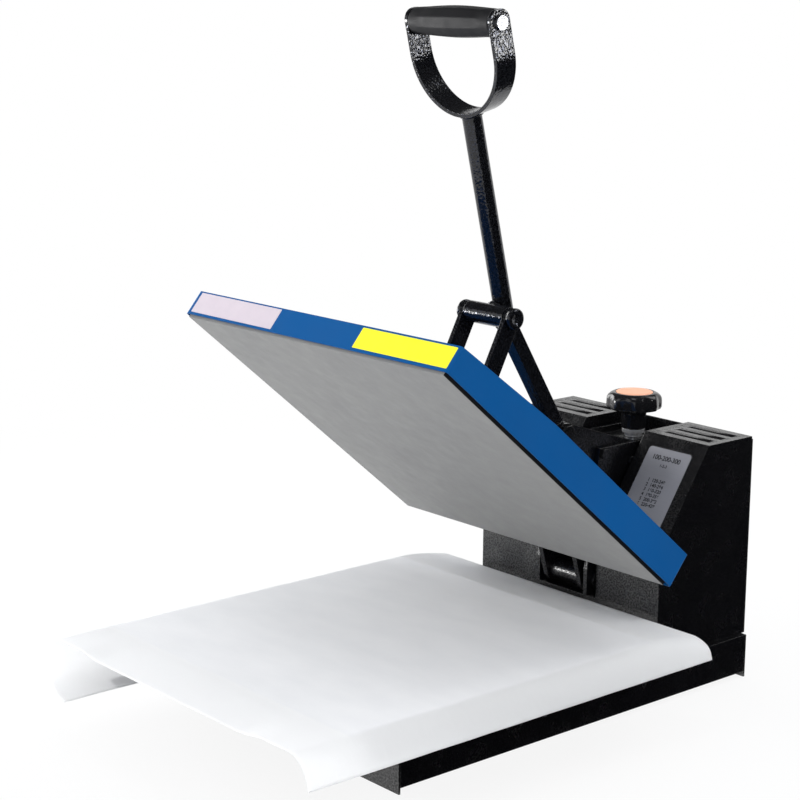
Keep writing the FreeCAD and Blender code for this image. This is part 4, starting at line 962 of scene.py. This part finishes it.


# A thin ring painted near black, with a woven bump, between the plate and the cover's lip.
ring_weave = Finish("dark_ring_weave", (0.022, 0.020, 0.019), 0.85, specular=0.1)
ring_weave.tint(ring_weave.clouds(3, 3), (0.012, 0.011, 0.011), (0.040, 0.036, 0.032))
ring_weave.bump(ring_weave.cells(1.4), 0.25, 0.8)
dark_ring_mesh = flat_ring(dark_ring_half, dark_ring_corner, dark_ring_width, dark_ring_low, dark_ring_high)
dark_ring_mesh = moved(dark_ring_mesh, open_turn @ Matrix.Translation(dark_ring_middle))
dark_ring = piece("plate_dark_ring", dark_ring_mesh, ring_weave, "platen", smooth=False)
add_modifier(dark_ring, "BEVEL", width=0.4 * MM, segments=3)

# %% [markdown]
# ## Paper strips and the number plate
# Two plain paper strips are glued to the front of the cover, one pale and one yellow. A brushed silver
# plate sits on the right tower and carries rows of plain numbers. Each is a thin slab with rounded
# corners. The numbers are text that becomes a mesh before it is put in place.

# %% Strips, plate and numbers


def thin_slab(width, height, corner, thickness, steps=4):
    """A rounded rectangle that stands up from the plane Z = 0, about the origin."""
    mesh = bmesh.new()
    bmesh.ops.create_grid(mesh, x_segments=1, y_segments=1, size=0.5)
    bmesh.ops.scale(mesh, vec=(width, height, 1), verts=mesh.verts)
    bmesh.ops.bevel(mesh, geom=mesh.verts[:], offset=corner, segments=steps, affect="VERTICES", profile=0.5,
                    material=-1)
    grown = bmesh.ops.extrude_face_region(mesh, geom=mesh.faces[:])
    lifted = [item for item in grown["geom"] if isinstance(item, bmesh.types.BMVert)]
    bmesh.ops.translate(mesh, vec=(0, 0, thickness), verts=lifted)
    bmesh.ops.recalc_face_normals(mesh, faces=mesh.faces)
    return mesh


def paper(name, dark, light):
    """Paper with a faint mottle and a slightly waxy face."""
    made = Finish(name, dark, 0.5, specular=0.25)
    made.tint(made.clouds(16, 4), dark, light)
    made.bump(made.clouds(5, 3), 0.05, 0.3)
    made.uneven_gloss(made.clouds(9), 0.42, 0.58)
    return made


cover_face = -416.7
strip_height = 116.2
strip_thickness, strip_corner = 0.15 * MM, 0.8 * MM
strip_turn = Matrix.Rotation(math.pi / 2, 4, "X")
for name, x, width, height, finish in (
    ("pale_strip", -122.5, 131, 22.5, paper("pale_paper", (0.56, 0.49, 0.55), (0.64, 0.57, 0.62))),
    ("yellow_strip", 128.0, 127, 21.5, paper("yellow_paper", (0.88, 0.84, 0.012), (0.95, 0.90, 0.020))),
):
    strip = thin_slab(width * MM, height * MM, strip_corner, strip_thickness)
    at = Matrix.Translation(Vector((x, cover_face, strip_height)) * MM)
    piece(name, moved(strip, open_turn @ at @ strip_turn), finish, "platen", smooth=False)

tower_front, slope_low = 40, 160
slope_back, tower_top = 110, 263
slope = math.atan2(tower_top - slope_low, slope_back - tower_front)
slope_foot = Vector((0, tower_front, slope_low)) * MM
slope_frame = Matrix.Translation(slope_foot) @ Matrix.Rotation(slope, 4, "X")
plate_middle = Vector((87.5, 63, 0)) * MM
plate_place = slope_frame @ Matrix.Translation(plate_middle)
plate_width, plate_height = 58 * MM, 94 * MM
border_extra = 2.4 * MM

brushed = Finish("brushed_silver", (0.42, 0.42, 0.45), 0.50, metallic=0.65)
brushed.tint(brushed.clouds(40, 2), (0.38, 0.38, 0.41), (0.50, 0.50, 0.54))
brushed.bump(brushed.clouds(0.5, 2, (0.04, 1, 1)), 0.02, 0.4)
brushed.uneven_gloss(brushed.clouds(1.2, 2, (0.05, 1, 1)), 0.40, 0.54)
ink = moulded("black_ink", (0.010, 0.010, 0.011), (0.016, 0.016, 0.017), 0.5, 0.4, 0.005, 0.1)

border = thin_slab(plate_width + border_extra, plate_height + border_extra, 5 * MM, 0.3 * MM, 8)
piece("plate_border", moved(border, plate_place), ink, "stand", smooth=False)
silver = thin_slab(plate_width, plate_height, 4 * MM, 0.6 * MM, 8)
piece("silver_plate", moved(silver, plate_place), brushed, "stand", smooth=False)


def letters(text, size):
    """The mesh of a line of text about its own middle, its strokes a little thickened."""
    curve = bpy.data.curves.new("line", "FONT")
    curve.body = text
    curve.size = size
    curve.align_x = "CENTER"
    curve.extrude = 0.02 * MM
    curve.offset = 0.028 * size
    holder = bpy.data.objects.new("line", curve)
    data = bpy.data.meshes.new_from_object(holder)
    mesh = bmesh.new()
    mesh.from_mesh(data)
    bpy.data.objects.remove(holder)
    bpy.data.meshes.remove(data)
    return mesh


# A row is its height on the plate and the size of its letters, both in mm, and its text.
rows = [(34, 7.4, "100-200-300"), (26.5, 4.6, "1-2-3")]
first_row, row_pitch, row_size = 9, 5.5, 5.4
row_aside, row_lift = -1, 0.62
for k in range(6):
    number = 120 + 20 * k
    numbers = "%d  %d-%d" % (k + 1, number, number * 9 // 5 + 32)
    rows.append((first_row - row_pitch * k, row_size, numbers))
number_meshes = []
for height, size, row in rows:
    at = Matrix.Translation(Vector((row_aside, height, row_lift)) * MM)
    number_meshes.append(moved(letters(row, size * MM), at))
number_mesh = moved(joined(number_meshes), plate_place)
piece("number_rows", number_mesh, ink, "stand", smooth=False)

# %% [markdown]
# ## Louvres
# Each slot in a tower's top has a tongue pressed down behind it. It leaves the rear edge of the slot
# level with the top and dips towards the front, so air can pass below the front edge. Further to the
# right it dips sooner, and at both ends it comes back up and closes the slot.

# %% Louvre tongues
tower_middle, tower_back = 87, 178.5
slot_middle = (slope_back + tower_back) / 2
slot_pitch = 18.5
slot_half = Vector((36.9, 5.2))
tongue_depth, tongue_sink = 4.4, 0.65
left_end, right_end = (-28, -24), (31, 34)
late_power, power_drop, drop_from, drop_to = 3, 2.4, 8, 26
tongue_thickness = 1.2 * MM
tongues = bmesh.new()
for side in (-1, 1):
    for k in (-1, 0, 1):
        made = bmesh.ops.create_grid(tongues, x_segments=74, y_segments=14, size=1)
        for vertex in made["verts"]:
            along, front = vertex.co.x * slot_half.x, (1 - vertex.co.y) / 2
            open_share = ease(along, *left_end) * (1 - ease(along, *right_end))
            power = late_power - power_drop * ease(along, drop_from, drop_to)
            dip = tongue_depth * front ** power * open_share
            y = slot_middle + slot_pitch * k + vertex.co.y * slot_half.y
            vertex.co = Vector((side * tower_middle + along, y, tower_top - tongue_sink - dip)) * MM
louvres = piece("louvre_tongues", tongues, powder, "stand")
add_modifier(louvres, "SOLIDIFY", thickness=tongue_thickness, offset=0)

# %% [markdown]
# ## The controller's face
# The controller sits on the left tower, where the photograph doesn't reach, and stays plain. A raised
# rim frames it, small screws hold it, and each key carries a simple raised mark.

# %% Rim, screws and key marks
case_face = Vector((-87, 62.27, 4)) * MM
face_place = slope_frame @ Matrix.Translation(case_face)
rim_half = Vector((38, 42, 0)) * MM
rim = flat_ring(rim_half, 4 * MM, 3 * MM, 0, 1.1 * MM)
rim_piece = piece("controller_rim", moved(rim, face_place), case_plastic, "stand",
                  smooth=False)
add_modifier(rim_piece, "BEVEL", width=0.45 * MM, segments=3)

screw_section = ((0, 0), (2.3, 0), (2.3, 0.5), (1.9, 1.1), (1.1, 1.5), (0.9, 1.5), (0.8, 0.8), (0, 0.8))
screw_x, screw_y = 32, 36
screws = []
for x in (-screw_x, screw_x):
    for y in (-screw_y, screw_y):
        at = face_place @ Matrix.Translation(Vector((x, y, 0)) * MM)
        screws.append(moved(turned(screw_section, 24), at))
piece("controller_screws", joined(screws), zinc, "stand")

key_pitch, key_drop, key_top = 15.5, -22, 1.6
mark_radius, mark_height = 2.4 * MM, 0.25 * MM
for k, (body, sides, turn) in enumerate((("set_key", 24, 0), ("down_key", 3, -90), ("up_key", 3, 90),
                                         ("enter_key", 4, 0))):
    mark = bmesh.new()
    bmesh.ops.create_circle(mark, cap_ends=True, segments=sides, radius=mark_radius,
                            matrix=Matrix.Rotation(math.radians(turn), 4, "Z"))
    grown = bmesh.ops.extrude_face_region(mark, geom=mark.faces[:])
    lifted = [item for item in grown["geom"] if isinstance(item, bmesh.types.BMVert)]
    bmesh.ops.translate(mark, vec=(0, 0, mark_height), verts=lifted)
    bmesh.ops.recalc_face_normals(mark, faces=mark.faces)
    at = face_place @ Matrix.Translation(Vector((key_pitch * (k - 1.5), key_drop, key_top)) * MM)
    piece(body + "_mark", moved(mark, at), ink, body, smooth=False)

# %% [markdown]
# ## Compare the sizes
# The dressed press has to fill the same box as the CAD model. Both boxes are worked out, and how far
# the dressed one reaches past the CAD one is printed.

# %% Sizes and the end
low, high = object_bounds()
{"cad": [list(cad_low), list(cad_high)], "visual": [list(low), list(high)]}
print("grown by, mm:", [round(v / MM, 1) for v in (*(cad_low - low), *(high - cad_high))])
